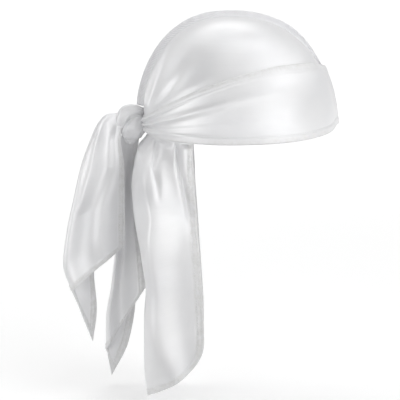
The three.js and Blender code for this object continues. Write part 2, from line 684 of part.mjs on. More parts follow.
// Middle surface of the flap: share across it from the near front edge to the far one,
// and share down each thread from the nape to the rounded hem.
function flap_surface(across, down) {
  const place = 2 * across - 1;
  const side = place < 0 ? -1 : 1;
  const thread = Math.abs(place) ** flap_steps.crowding;
  const azimuth = Math.PI - thread * flap_turn;
  const top = rim_height(azimuth) - layer_gap;
  const hem = band_edge(azimuth, "lower") - 2 * layer_gap;
  const corner = flap_corner * (1 - Math.sqrt(Math.max(0, 1 - thread ** 2)));
  const end = flap_top() - (flap_length - corner) * (side < 0 ? 1 : far_flap_share);
  const free = 1 / flap_steps.down;
  const z = down < free ? mix(top, hem, down / free) : mix(hem, end, (down - free) / (1 - free));
  const drop = (top - z) / flap_length;
  const hanging = side < 0 ? near_plan(thread, z) : far_hang(thread, z, drop);
  const climb = climb_to(azimuth, Math.max(z, hem), flap_cloth / 2);
  const upper = head_point(side, azimuth, climb, flap_cloth / 2);
  const released = ease((hem - z) / (flap_release * flap_length));
  const point = upper.lerp(hanging, released);
  if (side < 0) {
    const back = back_radius * flap_row("back", drop);
    const long = back - back_radius * flap_row("front", drop);
    const raised = ease((hem - z) / (flap_fold_release * flap_length));
    point.y -= ridge_height(near_flap_ridges, drop, (hanging.x + back) / long, long) * raised;
  }
  return point.setZ(z);
}

// Tie ends

// Middle surface of a folded strip: share across it from the front layer's free edge over
// the soft fold to the back layer's free edge, and share along it from knot to cut.
function tie_surface(rows, ridges, spread, length) {
  const edge = (key, down) => new THREE.Vector3(...[0, 1, 2].map((axis) => {
    const size = axis === 2 ? length : spread;
    return size * through(rows, "at", (row) => row[key][axis], down);
  }));
  const ramp = (distance) => {
    return Math.hypot(Math.max(0, distance), tie_fold_softness) - tie_fold_softness;
  };
  return (across, down) => {
    const fold = edge("fold", down);
    const front = edge("front", down).sub(fold);
    const rear = edge("rear", down).sub(fold);
    const beside = across - tie_fold_at;
    const to_front = ramp(-beside) / ramp(tie_fold_at);
    const to_rear = ramp(beside) / ramp(1 - tie_fold_at);
    const cheeks = bell(beside + tie_cheek, tie_cheek) - bell(beside - tie_cheek, tie_cheek);
    const raised = roll_radius * ease(down * tie_ridge_start) * cheeks
      + ridge_height(ridges, down, across, -1);
    return fold.addScaledVector(front, to_front).addScaledVector(rear, to_rear)
      .add(new THREE.Vector3(0, -raised, 0)).add(knot_centre);
  };
}

function tie_end(rows, ridges, spread, length) {
  const surface = tie_surface(rows, ridges, spread, length);
  const strip = sheet(tie_steps.across, tie_steps.down, surface, tie_cloth);
  return carve(strip, [ellipsoid(joint_gap), knot_strand(joint_gap)]);
}

// Assembly

const durag = new THREE.Group();

function add(name, geometry, look) {
  geometry.computeVertexNormals();
  const mesh = new THREE.Mesh(geometry, new THREE.MeshStandardMaterial(look));
  mesh.name = name;
  durag.add(mesh);
}

add("crown_right", crown_panel(-1), satin);
add("crown_left", crown_panel(1), satin);
add("crown_seam", crown_seam(), thread_satin);
add("wrap_band", wrap_band(), satin);
add("knot_core", carve(ellipsoid(0), [knot_strand(joint_gap)]), satin);
add("knot_strand", knot_strand(0), satin);
add("near_tie_end", tie_end(near_tie_rows, near_tie_ridges, near_tie_spread, near_tie_length), satin);
add("far_tie_end", tie_end(far_tie_rows, far_tie_ridges, far_tie_spread, far_tie_length), satin);
add("neck_flap", sheet(flap_steps.across, flap_steps.down, flap_surface, flap_cloth), satin);

export default durag;
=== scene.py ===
"""White satin durag as it is worn and tied at the back, dressed over its solid pieces.

Frame: +X forward, +Y to the wearer's left, +Z up, origin at the top of the hollow for the
head. Shapes are worked out in millimetres and put into their meshes in metres.
"""

import math

import bmesh
import bpy
import numpy as np
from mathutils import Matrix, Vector


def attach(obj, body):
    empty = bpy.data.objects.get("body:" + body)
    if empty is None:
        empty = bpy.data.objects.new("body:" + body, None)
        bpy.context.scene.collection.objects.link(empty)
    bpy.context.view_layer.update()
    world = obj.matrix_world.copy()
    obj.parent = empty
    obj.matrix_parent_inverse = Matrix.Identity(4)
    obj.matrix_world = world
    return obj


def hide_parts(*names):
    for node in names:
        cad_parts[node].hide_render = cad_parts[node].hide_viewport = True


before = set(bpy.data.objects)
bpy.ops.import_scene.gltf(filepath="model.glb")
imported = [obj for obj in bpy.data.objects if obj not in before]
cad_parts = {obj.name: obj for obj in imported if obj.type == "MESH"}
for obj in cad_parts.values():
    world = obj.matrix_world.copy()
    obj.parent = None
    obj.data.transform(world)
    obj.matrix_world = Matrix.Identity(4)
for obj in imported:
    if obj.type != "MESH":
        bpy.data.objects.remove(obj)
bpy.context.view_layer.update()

MM = 0.001

# Head form, the same sizes as the solids have
FRONT_RADIUS = 101.5
BACK_RADIUS = 87.0
HALF_WIDTH = 74.8
CROWN_HEIGHT = 115.0
PLAN_POWER = 2.2
FRONT_POWER = 2.25
BACK_POWER = 2.27
NAPE_TUCK = 7.0
TUCK_START = 72.0
CROWN_CLOTH = 1.4
BAND_CLOTH = 1.8
FLAP_CLOTH = 1.2
TIE_CLOTH = 1.2
SEAM_CLOTH = 1.8
LAYER_GAP = 0.5
JOINT_GAP = 0.3
HEM_RISE = 0.5
BAND_END_TURN = 0.98
BAND_SPACING = 1.15
BAND_END_FADE = 0.05
FLAP_TURN = 1.13
SEAM_HEIGHT = 6.9
PRESSED_SEAM = 2.3
RIM_COVER = 4.0
SEAM_LEAN = 0.9
SEAM_RISE_RUN = 40.0
SEAM_KNOT_CLEARANCE = 0.43
WRINKLE_DEPTH = 1.5
WRINKLE_ANGLE = 1.12
WRINKLE_TURNS = 13.8
WRINKLE_MIDDLE = 0.2
WRINKLE_START = 36.0
WRINKLE_HOLD = 42.0
WRINKLE_FADE = 62.0
WRINKLE_ABOVE_BAND = 9.0
KNOT_LENGTH = 24.0
KNOT_HEIGHT = 36.0
KNOT_DEPTH = 18.0
FLAP_LENGTH = 266.0
FLAP_CORNER = 66.0
FAR_FLAP_SHARE = 0.985
NEAR_TIE_LENGTH = 221.0
NEAR_TIE_SPREAD = 65.0
FAR_TIE_LENGTH = 263.0
FAR_TIE_SPREAD = 30.0
ROLL_RADIUS = 4.0
TIE_FOLD_AT = 0.62
TIE_FOLD_SOFTNESS = 0.1
TIE_CHEEK = 0.1
FLOOR_LEVEL = -374.5

# Edges of the wrap band by turn, from the front (0) to the knot (1)
BAND_TURN = [0.0, 0.12, 0.2, 0.33, 0.43, 0.52, 0.63, 0.76, 0.85, 0.94, 1.0]
BAND_LOWER = [0.906, 0.952, 0.979, 1.012, 1.023, 1.026, 1.018, 0.999, 0.984, 0.969, 0.966]
BAND_UPPER = [0.403, 0.37, 0.363, 0.377, 0.425, 0.488, 0.583, 0.72, 0.796, 0.842, 0.862]

# Gathers of the band: share of its height at the knot and further round, reach, width, height
BAND_FOLDS = [
    (0.15, 0.26, 0.55, 0.07, 1.7),
    (0.31, 0.32, 0.75, 0.05, 0.8),
    (0.385, 0.39, 0.3, 0.03, -1.5),
    (0.5, 0.73, 0.85, 0.075, 2.3),
    (0.635, 0.74, 0.26, 0.03, -1.7),
    (0.8, 0.87, 0.5, 0.05, 1.5),
]

# Rows of the neck flap: drop, back, front, spread, bow
FLAP_ROWS = np.array([
    (0.0, 0.955, 0.425, 0.92, 0.95),
    (0.026, 1.01, 0.423, 0.9, 0.93),
    (0.05, 1.025, 0.42, 0.88, 0.9),
    (0.13, 1.092, 0.41, 0.83, 0.8),
    (0.22, 1.124, 0.4, 0.75, 0.7),
    (0.32, 1.09, 0.378, 0.67, 0.6),
    (0.45, 1.02, 0.35, 0.6, 0.52),
    (0.6, 0.962, 0.318, 0.53, 0.46),
    (0.72, 0.985, 0.298, 0.47, 0.42),
    (0.86, 0.99, 0.295, 0.42, 0.4),
    (1.0, 0.93, 0.295, 0.36, 0.4),
])

# Folds of the far half of the flap: place at the start, middle and end, stretch of the drop,
# share width, height
FAR_FLAP_FOLDS = [
    (0.27, 0.41, 0.37, 0.03, 0.5, 0.07, 3.0),
    (0.75, 0.82, 0.93, -0.05, 0.42, 0.06, -3.0),
    (0.55, 0.61, 0.65, -0.02, 0.5, 0.1, 3.0),
    (0.35, 0.27, 0.67, 0.38, 1.1, 0.09, 4.0),
    (0.67, 0.71, 0.89, 0.38, 1.05, 0.1, -3.5),
]

# Ridges of the near half of the flap, each with rows of the drop, the place as a share from
# the back fold to the front edge, the height and the widths behind and ahead of its crest
NEAR_FLAP_RIDGES = [
    [(-0.02, 0.05, 2.5, 4.5, 9.0), (0.03, 0.07, 4.0, 4.5, 10.0), (0.07, 0.1, 6.0, 4.5, 12.0),
     (0.136, 0.19, 8.0, 5.5, 16.0), (0.206, 0.28, 10.0, 6.0, 20.0), (0.276, 0.31, 11.5, 7.0, 24.0),
     (0.398, 0.2, 12.0, 7.0, 27.0), (0.482, 0.14, 11.5, 7.0, 27.0), (0.585, 0.12, 11.0, 8.0, 26.0),
     (0.688, 0.18, 11.0, 11.0, 26.0), (0.776, 0.3, 11.0, 14.0, 24.0), (0.861, 0.48, 9.5, 18.0, 19.0),
     (0.924, 0.65, 6.5, 18.0, 15.0), (1.05, 0.8, 2.0, 14.0, 12.0)],
    [(-0.03, 0.27, 3.0, 5.0, 10.0), (0.03, 0.3, 4.0, 4.5, 12.0), (0.08, 0.36, 4.0, 4.5, 12.0),
     (0.17, 0.42, 2.5, 5.0, 12.0), (0.25, 0.45, 0.0, 6.0, 12.0)],
    [(-0.02, 0.16, -2.5, 2.4, 3.6), (0.03, 0.2, -3.2, 2.4, 3.6), (0.09, 0.3, -3.2, 2.6, 4.0),
     (0.17, 0.41, -2.5, 3.0, 4.0), (0.24, 0.45, 0.0, 3.0, 4.0)],
    [(-0.02, 0.66, -3.2, 2.6, 4.0), (0.06, 0.69, -3.8, 2.6, 4.0), (0.125, 0.77, -3.8, 3.0, 4.0),
     (0.215, 0.86, -3.2, 3.2, 4.0), (0.33, 0.93, -1.6, 4.0, 4.0), (0.42, 0.95, 0.0, 4.0, 4.0)],
    [(-0.03, 0.8, 2.5, 4.5, 8.0), (0.03, 0.82, 3.0, 4.0, 8.0), (0.09, 0.86, 3.0, 4.5, 8.0),
     (0.14, 0.9, 2.5, 5.0, 8.0), (0.22, 0.96, 1.5, 5.0, 7.0), (0.32, 0.98, 0.0, 6.0, 6.0)],
    [(0.28, 1.0, 0.0, 16.0, 8.0), (0.45, 1.04, 6.0, 20.0, 8.0), (0.7, 1.05, 6.5, 18.0, 8.0),
     (0.85, 1.08, 5.0, 14.0, 8.0), (1.0, 1.12, 0.0, 10.0, 8.0)],
]

# Width of the near half across the head, by drop
NEAR_SPREAD_DROP = [0.0, 0.05, 0.13, 0.22, 0.32, 0.45, 0.6, 0.72, 0.86, 1.0]
NEAR_SPREAD = [0.935, 0.95, 0.965, 0.985, 1.0, 1.02, 1.04, 1.055, 1.07, 1.085]

# Hanging form of the near half: the corner at its back, the drop over which it takes its
# form, the lean of its back towards the front, and the hollow beside the nape fold
CHANNEL_CORNER = 12.0
CHANNEL_START = 0.3
CORNER_LEAD = 0.037
NAPE_FOLD = 7.0
NAPE_FOLD_PLACE = 0.3
NAPE_FOLD_WIDTH = 0.15
NAPE_FOLD_DROP = 0.14

# Widths of the hanging cloths along the weave
NEAR_FLAP_WIDTH = 118.0
FAR_FLAP_WIDTH = 75.0
NEAR_TIE_WIDTH = 120.0
FAR_TIE_WIDTH = 80.0

# Long edges of the tie ends: at, fold, front edge and rear edge (out, near, up)
NEAR_TIE_ROWS = np.array([
    (0.0, -0.06, -0.05, 0.042, -0.08, -0.08, -0.03, -0.08, 0.02, 0.0),
    (0.06, -0.3, -0.12, 0.04, -0.13, -0.11, -0.035, -0.3, 0.0, -0.02),
    (0.12, -0.47, -0.18, -0.002, -0.125, -0.12, -0.055, -0.42, -0.03, -0.08),
    (0.2, -0.58, -0.24, -0.069, -0.135, -0.125, -0.087, -0.46, -0.05, -0.167),
    (0.35, -0.73, -0.3, -0.193, -0.09, -0.14, -0.172, -0.51, -0.06, -0.324),
    (0.5, -0.83, -0.34, -0.321, -0.08, -0.16, -0.259, -0.54, -0.07, -0.481),
    (0.7, -0.95, -0.39, -0.493, -0.07, -0.19, -0.377, -0.56, -0.08, -0.691),
    (0.85, -1.0, -0.41, -0.624, -0.07, -0.21, -0.465, -0.52, -0.09, -0.848),
    (1.0, -0.875, -0.41, -0.748, -0.08, -0.22, -0.552, -0.585, -0.1, -1.0),
])
FAR_TIE_ROWS = np.array([
    (0.0, -0.2, 0.07, -0.035, 0.32, 0.1, -0.025, 0.1, 0.2, -0.035),
    (0.06, -0.39, 0.2, -0.105, 0.28, 0.3, -0.085, 0.17, 0.46, -0.12),
    (0.12, -0.42, 0.34, -0.163, 0.18, 0.46, -0.133, 0.18, 0.62, -0.177),
    (0.2, -0.45, 0.44, -0.229, 0.17, 0.62, -0.179, 0.2, 0.78, -0.253),
    (0.35, -0.48, 0.52, -0.354, 0.165, 0.74, -0.267, 0.22, 0.93, -0.397),
    (0.5, -0.51, 0.56, -0.478, 0.22, 0.78, -0.356, 0.21, 0.98, -0.542),
    (0.7, -0.67, 0.57, -0.643, 0.33, 0.8, -0.474, 0.11, 1.0, -0.734),
    (0.85, -0.84, 0.57, -0.766, 0.43, 0.8, -0.562, -0.13, 0.98, -0.876),
    (1.0, -0.86, 0.57, -0.89, 0.48, 0.77, -0.651, -0.69, 0.77, -1.0),
])

# Ridges of the tie ends, each with rows of the length, the place across from the front
# layer's free edge, the height and the share widths towards the fold and the free edge
NEAR_TIE_RIDGES = [
    [(0.1, 0.44, 0.0, 0.05, 0.12), (0.2, 0.426, 3.0, 0.05, 0.13), (0.35, 0.404, 4.0, 0.05, 0.13),
     (0.5, 0.431, 3.5, 0.05, 0.13), (0.62, 0.44, 0.0, 0.05, 0.12)],
    [(0.38, 0.15, 0.0, 0.08, 0.13), (0.5, 0.165, 2.5, 0.08, 0.13), (0.65, 0.2, 4.2, 0.08, 0.15),
     (0.85, 0.197, 4.5, 0.08, 0.15), (1.1, 0.17, 4.0, 0.08, 0.14)],
    [(0.2, 0.57, 0.0, 0.05, 0.14), (0.5, 0.57, 3.0, 0.05, 0.17), (0.85, 0.565, 4.0, 0.05, 0.18),
     (1.1, 0.55, 3.5, 0.06, 0.18)],
    [(0.05, 0.12, 1.0, 0.08, 0.09), (0.2, 0.1, 2.8, 0.08, 0.08), (0.35, 0.09, 2.8, 0.08, 0.08),
     (0.66, 0.08, 0.0, 0.1, 0.08)],
]
FAR_TIE_RIDGES = [
    [(0.1, 0.5, 0.0, 0.05, 0.1), (0.3, 0.5, 2.0, 0.05, 0.12), (1.2, 0.47, 2.4, 0.06, 0.12)],
    [(0.1, 0.31, 0.0, 0.05, 0.1), (0.3, 0.31, 2.0, 0.05, 0.12), (1.2, 0.28, 2.4, 0.06, 0.12)],
    [(0.1, 0.02, 0.0, 0.1, 0.1), (0.3, 0.02, 3.0, 0.12, 0.1), (1.1, 0.02, 3.0, 0.12, 0.1)],
]

# The tie ends: rows, ridges, spread, length and width along the weave
NEAR_TIE = (NEAR_TIE_ROWS, NEAR_TIE_RIDGES, NEAR_TIE_SPREAD, NEAR_TIE_LENGTH, NEAR_TIE_WIDTH)
FAR_TIE = (FAR_TIE_ROWS, FAR_TIE_RIDGES, FAR_TIE_SPREAD, FAR_TIE_LENGTH, FAR_TIE_WIDTH)

# Strands of the knot by place from its centre (x, y, z), width and depth, in millimetres
UPPER_STRAND = [
    (13.0, 4.0, 7.5, 8.0, 7.0),
    (10.0, 0.5, 9.8, 11.0, 9.0),
    (4.5, -2.2, 10.6, 14.0, 10.5),
    (-1.5, -3.4, 9.2, 16.5, 11.0),
    (-5.6, -3.8, 4.4, 15.5, 11.0),
    (-8.0, -3.4, -1.5, 13.0, 10.0),
    (-8.6, -2.4, -7.0, 10.5, 8.5),
    (-8.4, -0.5, -12.0, 7.5, 6.0),
]
LOWER_STRAND = [
    (13.0, 2.0, 4.0, 8.0, 7.0),
    (11.0, -2.0, 1.5, 13.0, 9.0),
    (8.0, -5.0, -2.5, 18.0, 10.5),
    (4.6, -5.8, -6.8, 20.0, 11.0),
    (2.4, -4.8, -10.8, 20.0, 10.5),
    (0.6, -1.5, -13.8, 17.0, 9.0),
    (-1.0, 3.0, -14.2, 12.0, 7.0),
]
BACK_STRAND = [
    (9.0, 2.0, 9.0, 8.0, 7.0),
    (5.0, 5.0, 8.0, 14.0, 9.0),
    (-1.0, 6.0, 3.0, 18.0, 9.0),
    (1.5, 6.0, -4.0, 21.0, 9.0),
    (8.0, 6.0, -9.0, 20.0, 8.0),
    (12.0, 5.0, -14.0, 15.0, 6.5),
]

# Sewing: lengths in millimetres
STITCH_PITCH = 2.7
STITCH_LENGTH = 2.0
THREAD_RADIUS = 0.36
HEM_WIDTH = 6.5
HEM_THICKENING = 0.6
STITCH_DENT = 0.5
HANGING_HEM_SHARE = 0.8
BAND_HEM_SHARE = 0.7
STITCH_SINK = 0.1
HEM_LINES = (2.0, 5.6)
BAND_UPPER_LINES = (1.2, 5.4)
BAND_LOWER_LINES = (7.6,)


# Plain curves and blends


def mix(start, end, share):
    return start + (end - start) * share


def ease(value):
    """Smooth step: 3t^2 - 2t^3 for a share t kept between 0 and 1."""
    t = np.clip(value, 0.0, 1.0)
    return t * t * (3.0 - 2.0 * t)


def bell(distance, width):
    """exp(-(distance / width)^2)."""
    return np.exp(-((distance / width) ** 2))


def through(stops, heights, at, level_ends=False):
    """Smooth curve through a table's rows with no overshoot: cubic pieces whose slope at a
    row is the harmonic mean of the slopes on its two sides, and flat ends where asked."""
    x = np.asarray(stops, float)
    y = np.asarray(heights, float)
    slope = np.diff(y) / np.diff(x)
    bend = np.zeros_like(y)
    if not level_ends:
        bend[0], bend[-1] = slope[0], slope[-1]
    product = slope[:-1] * slope[1:]
    total = np.where(product > 0, slope[:-1] + slope[1:], 1.0)
    bend[1:-1] = np.where(product > 0, 2.0 * product / total, 0.0)
    row = np.clip(np.searchsorted(x, at, side="right") - 1, 0, len(x) - 2)
    span = x[row + 1] - x[row]
    t = np.clip((at - x[row]) / span, 0.0, 1.0)
    rise = y[row] * (1 - t) ** 2 * (1 + 2 * t) + y[row + 1] * t**2 * (3 - 2 * t)
    return rise + span * (bend[row] * t * (1 - t) ** 2 - bend[row + 1] * t**2 * (1 - t))


def unit(vectors):
    length = np.linalg.norm(vectors, axis=-1, keepdims=True)
    return vectors / np.maximum(length, 1e-12)


def stack(x, y, z):
    return np.stack(np.broadcast_arrays(x, y, z), axis=-1)


# Head form


def climb_to(azimuth, z, off):
    """Angle above the widest level at which the head form, off outside, has height z."""
    level = (z + CROWN_HEIGHT) / (CROWN_HEIGHT + off)
    power = profile_power(azimuth)
    width = np.maximum(0.0, 1.0 - np.abs(level) ** power) ** (1.0 / power)
    return np.arctan2(level, width)


def profile_power(azimuth):
    return mix(FRONT_POWER, BACK_POWER, (1.0 - np.cos(azimuth)) / 2.0)


def head_point(side, azimuth, climb, off):
    """Superellipse in plan times a superellipse in profile, off outside, tucked in at the nape."""
    along = np.abs(np.cos(azimuth))
    across = np.abs(np.sin(azimuth))
    spread = (along**PLAN_POWER + across**PLAN_POWER) ** (-1.0 / PLAN_POWER)
    power = profile_power(azimuth)
    level = np.abs(np.sin(climb))
    width = np.abs(np.cos(climb))
    reach = (level**power + width**power) ** (-1.0 / power)
    z = (CROWN_HEIGHT + off) * np.sin(climb) * reach - CROWN_HEIGHT
    radius = np.where(np.cos(azimuth) > 0, FRONT_RADIUS, BACK_RADIUS) + off
    low = np.maximum(0.0, -TUCK_START - z) / (CROWN_HEIGHT - TUCK_START)
    backness = np.maximum(0.0, -np.cos(azimuth)) ** 2
    x = np.cos(azimuth) * spread * radius * width * reach + NAPE_TUCK * backness * low**2
    y = side * across * spread * (HALF_WIDTH + off) * width * reach
    return stack(x, y, z)


def band_edge(azimuth, edge):
    return -CROWN_HEIGHT * through(BAND_TURN, edge, azimuth / math.pi, level_ends=True)


def rim_height(azimuth):
    return band_edge(azimuth, BAND_LOWER) + RIM_COVER


BAND_INSIDE = CROWN_CLOTH + LAYER_GAP
BAND_OUTSIDE = BAND_INSIDE + BAND_CLOTH
KNOT_LEVEL = -0.89 * CROWN_HEIGHT
NAPE = head_point(1, math.pi, climb_to(math.pi, KNOT_LEVEL, 0.0), BAND_OUTSIDE + HEM_RISE)
KNOT_SEAT = float(NAPE[0])
KNOT_CENTRE = np.array([
    KNOT_SEAT - JOINT_GAP - KNOT_LENGTH / 2,
    -KNOT_DEPTH / 6,
    KNOT_LEVEL,
])


# Meshes


def mesh_piece(name, points, faces, uv=None, hem=None):
    """Object of a mesh: points in millimetres, a list of face arrays, the cloth's own
    coordinates in metres and the share of hem at each point. Equal points are merged
    and the faces turned to point outwards."""
    corners = np.concatenate([f.ravel() for f in faces])
    counts = np.concatenate([np.full(len(f), f.shape[1]) for f in faces])
    mesh = bpy.data.meshes.new(name)
    mesh.vertices.add(len(points))
    mesh.vertices.foreach_set("co", (points * MM).astype(np.float32).ravel())
    mesh.loops.add(len(corners))
    mesh.loops.foreach_set("vertex_index", corners.astype(np.int32))
    mesh.polygons.add(len(counts))
    starts = np.concatenate([[0], np.cumsum(counts)[:-1]])
    mesh.polygons.foreach_set("loop_start", starts.astype(np.int32))
    mesh.update(calc_edges=True)
    if uv is not None:
        layer = mesh.uv_layers.new(name="cloth")
        layer.data.foreach_set("uv", uv[corners].astype(np.float32).ravel())
    if hem is not None:
        attribute = mesh.attributes.new("hem", "FLOAT", "POINT")
        attribute.data.foreach_set("value", hem.astype(np.float32))
    work = bmesh.new()
    work.from_mesh(mesh)
    bmesh.ops.remove_doubles(work, verts=work.verts, dist=2e-7)
    loose = [v for v in work.verts if not v.link_faces]
    bmesh.ops.delete(work, geom=loose, context="VERTS")
    if work.calc_volume(signed=True) < 0:
        bmesh.ops.reverse_faces(work, faces=work.faces)
    work.to_mesh(mesh)
    work.free()
    mesh.polygons.foreach_set("use_smooth", np.ones(len(mesh.polygons), bool))
    mesh.update()
    piece = bpy.data.objects.new(name, mesh)
    bpy.context.scene.collection.objects.link(piece)
    return piece


def grid_faces(rows, columns, start=0, turned=False):
    """Squares of a grid of rows x columns points, numbered row by row from start."""
    k = np.arange(rows * columns).reshape(rows, columns) + start
    a, b, c, d = k[:-1, :-1], k[1:, :-1], k[1:, 1:], k[:-1, 1:]
    order = (a, d, c, b) if turned else (a, b, c, d)
    return np.stack(order, axis=-1).reshape(-1, 4)


def cloth_piece(name, inner, outer, hem):
    """Closed cloth between two faces given on the same grid, joined all round its rim."""
    rows, columns = inner.shape[:2]
    count = rows * columns
    k = np.arange(count).reshape(rows, columns)
    rim = np.concatenate([k[0, :], k[1:, -1], k[-1, -2::-1], k[-2:0:-1, 0]])
    following = np.roll(rim, -1)
    wall = np.stack([rim, rim + count, following + count, following], axis=-1)
    middle = (inner + outer) / 2
    along = np.linalg.norm(np.diff(middle, axis=0), axis=-1).mean(axis=1)
    across = np.linalg.norm(np.diff(middle, axis=1), axis=-1).mean(axis=0)
    u = np.concatenate([[0.0], np.cumsum(along)]) * MM
    v = np.concatenate([[0.0], np.cumsum(across)]) * MM
    uv = np.stack(np.meshgrid(u, v, indexing="ij"), axis=-1).reshape(-1, 2)
    points = np.concatenate([inner.reshape(-1, 3), outer.reshape(-1, 3)])
    faces = [grid_faces(rows, columns, 0, True), grid_faces(rows, columns, count), wall]
    return mesh_piece(name, points, faces, np.tile(uv, (2, 1)), np.tile(hem.ravel(), 2))


def rim_steps(count, length, thickness):
    """Shares from 0 to 1, close together within half a thickness of both ends."""
    near = np.array([0.0, 0.1, 0.4, 0.9, 1.6]) * thickness / 2 / length
    inside = np.linspace(near[-1], 1.0 - near[-1], count)
    return np.concatenate([near[:-1], inside, 1.0 - near[-2::-1]])


def rounded(distance, thickness):
    """Share of the full thickness at a distance from a rim that is rounded off."""
    share = np.clip(distance / (thickness / 2), 0.0, 1.0)
    return np.sqrt(1.0 - (1.0 - share) ** 2)


def hem_profile(distance, lines=()):
    """Change of the half thickness near a hem: thicker where the cloth is turned in,
    pressed in along the stitch lines."""
    turned = HEM_THICKENING * (1.0 - ease((distance - HEM_WIDTH) / 1.5))
    return turned - sum(STITCH_DENT * bell(distance - line, 0.7) for line in lines)


def face_normals(points):
    """Unit normals of a surface from its differences along both ways of the grid."""
    return unit(np.cross(np.gradient(points, axis=0), np.gradient(points, axis=1)))


def sheet_piece(name, points, half_thickness, hem):
    """Cloth of a given half thickness on both sides of a middle surface."""
    lift = face_normals(points) * half_thickness[..., None]
    return cloth_piece(name, points - lift, points + lift, hem)


# Crown


def crown_wrinkle(azimuth, z, x):
    """Waves that fan out from the knot: a cosine of the angle about it, faded with the
    distance, at the band and at the seam, with a finer wave on top."""
    away = np.hypot(x - KNOT_SEAT, z - KNOT_LEVEL)
    angle = np.arctan2(z - KNOT_LEVEL, x - KNOT_SEAT)
    wave = np.cos((angle - WRINKLE_ANGLE) * WRINKLE_TURNS)
    fine = 0.25 * np.cos((angle - 1.0) * 31.0)
    fade = ease(away / WRINKLE_START) * (1.0 - ease((away - WRINKLE_HOLD) / WRINKLE_FADE))
    clear = ease((z - band_edge(azimuth, BAND_UPPER)) / WRINKLE_ABOVE_BAND)
    off_seam = ease(np.sin(azimuth) * 4.0) * mix(1.0, 0.45, ease((angle - 1.2) / 0.3))
    return WRINKLE_DEPTH * (wave - WRINKLE_MIDDLE + fine) * fade * clear * off_seam


def seam_pucker(y, run):
    """Small waves of the crown where the centre seam draws it in: a cosine of the run along
    the seam, faded by a bell of the distance y from it."""
    return 0.22 * np.cos(run * 2.0 * math.pi / 7.5) * bell(y, 8.0) * ease((y - 0.8) / 2.0)


def crown_face(side, azimuth, climb, off):
    """Face of the crown cloth: the head form with the creases and puckers raised from it."""
    plain = head_point(side, azimuth, climb, off)
    lift = crown_wrinkle(azimuth, plain[..., 2], plain[..., 0])
    near = np.abs(plain[..., 1])
    lift = lift + seam_pucker(near, plain[..., 0] + 0.8 * plain[..., 2])
    point = head_point(side, azimuth, climb, off + lift)
    point[..., 1] = side * np.maximum(np.abs(point[..., 1]), JOINT_GAP / 2)
    return point


def crown_panel(name, side, round_steps=170, up_steps=96):
    """Half crown: azimuth from front to back times climb from the rim to the top."""
    azimuth = np.linspace(0.0, math.pi, round_steps + 1)[:, None]
    height_over = 150.0
    share = rim_steps(up_steps, height_over, CROWN_CLOTH)[None, :]
    rim = share * height_over
    faces = []
    for face in (-1.0, 1.0):
        off = CROWN_CLOTH / 2 * (1.0 + face * rounded(rim, CROWN_CLOTH))
        low = climb_to(azimuth, rim_height(azimuth), CROWN_CLOTH / 2)
        climb = mix(low, math.pi / 2, share**0.9)
        faces.append(crown_face(side, azimuth, climb, off + 0.0 * azimuth))
    hem = np.zeros(faces[0].shape[:2])
    return cloth_piece(name, faces[0], faces[1], hem)


# Centre seam


def seam_line():
    """Foot and top of the standing seam along the centre line, from front to back."""
    base = CROWN_CLOTH + JOINT_GAP
    front_low = climb_to(0.0, rim_height(0.0) + SEAM_CLOTH, base)
    back_low = climb_to(math.pi, KNOT_LEVEL + SEAM_KNOT_CLEARANCE * KNOT_HEIGHT, base)
    front = np.linspace(float(front_low), math.pi / 2, 150)
    back = np.linspace(math.pi / 2, float(back_low), 150)[1:]
    azimuth = np.concatenate([np.zeros(len(front)), np.full(len(back), math.pi)])
    climb = np.concatenate([front, back])
    level = head_point(1, azimuth, climb, base)[:, 2]
    over_band = level - band_edge(azimuth, BAND_UPPER)
    risen = mix(PRESSED_SEAM, SEAM_LEAN * SEAM_HEIGHT, ease(over_band / SEAM_RISE_RUN))
    behind = mix(SEAM_LEAN, 1.0, ease(np.cos(climb) * 2.0)) * SEAM_HEIGHT
    height = np.where(azimuth < 1.0, risen, behind)
    foot = head_point(1, azimuth, climb, base)
    top = head_point(1, azimuth, climb, base + height)
    foot[:, 1] = 0.0
    top[:, 1] = 0.0
    return foot, top, height


def crown_seam():
    """Standing seam: a flat rounded profile with a flared foot carried along the centre
    line, its free edge gently waved from side to side."""
    foot, top, height = seam_line()
    run = np.concatenate([[0.0], np.cumsum(np.linalg.norm(np.diff(foot, axis=0), axis=1))])
    turn = np.linspace(0.0, 1.0, 19)
    half = SEAM_CLOTH / 2
    stops = [0.0, 0.1, 0.25, 0.5, 0.75, 0.9, 1.0]
    rise = np.interp(turn, stops, [-0.6, -0.1, 0.12, 0.55, 0.86, 0.97, 1.0])
    width = np.interp(turn, stops, [2.3, 1.6, 1.0, 0.92, 1.0, 0.7, 0.0])
    rise = np.concatenate([rise, rise[-2::-1]])
    width = np.concatenate([width, -width[-2::-1]]) * half
    outward = unit(top - foot)
    lift = np.where(rise[None, :] > 0, rise[None, :] * height[:, None], rise[None, :])
    points = foot[:, None, :] + outward[:, None, :] * lift[..., None]
    wave = 0.35 * np.sin(run * 2 * math.pi / 11.0) + 0.2 * np.sin(run * 2 * math.pi / 4.7)
    points[..., 1] = width[None, :] + wave[:, None] * np.clip(rise, 0.0, 1.0)[None, :] ** 2
    rings, sides = points.shape[:2]
    k = np.arange(rings * sides).reshape(rings, sides)
    nxt = np.roll(k, -1, axis=1)
    quads = np.stack([k[:-1], k[1:], nxt[1:], nxt[:-1]], axis=-1).reshape(-1, 4)
    ends = [k[0][None, :], k[-1][::-1][None, :]]
    uv = np.stack(np.broadcast_arrays(run[:, None] * MM, np.arange(sides)[None, :] * MM), axis=-1)
    return mesh_piece("centre_seam", points.reshape(-1, 3), [quads, *ends], uv.reshape(-1, 2))


# Wrap band


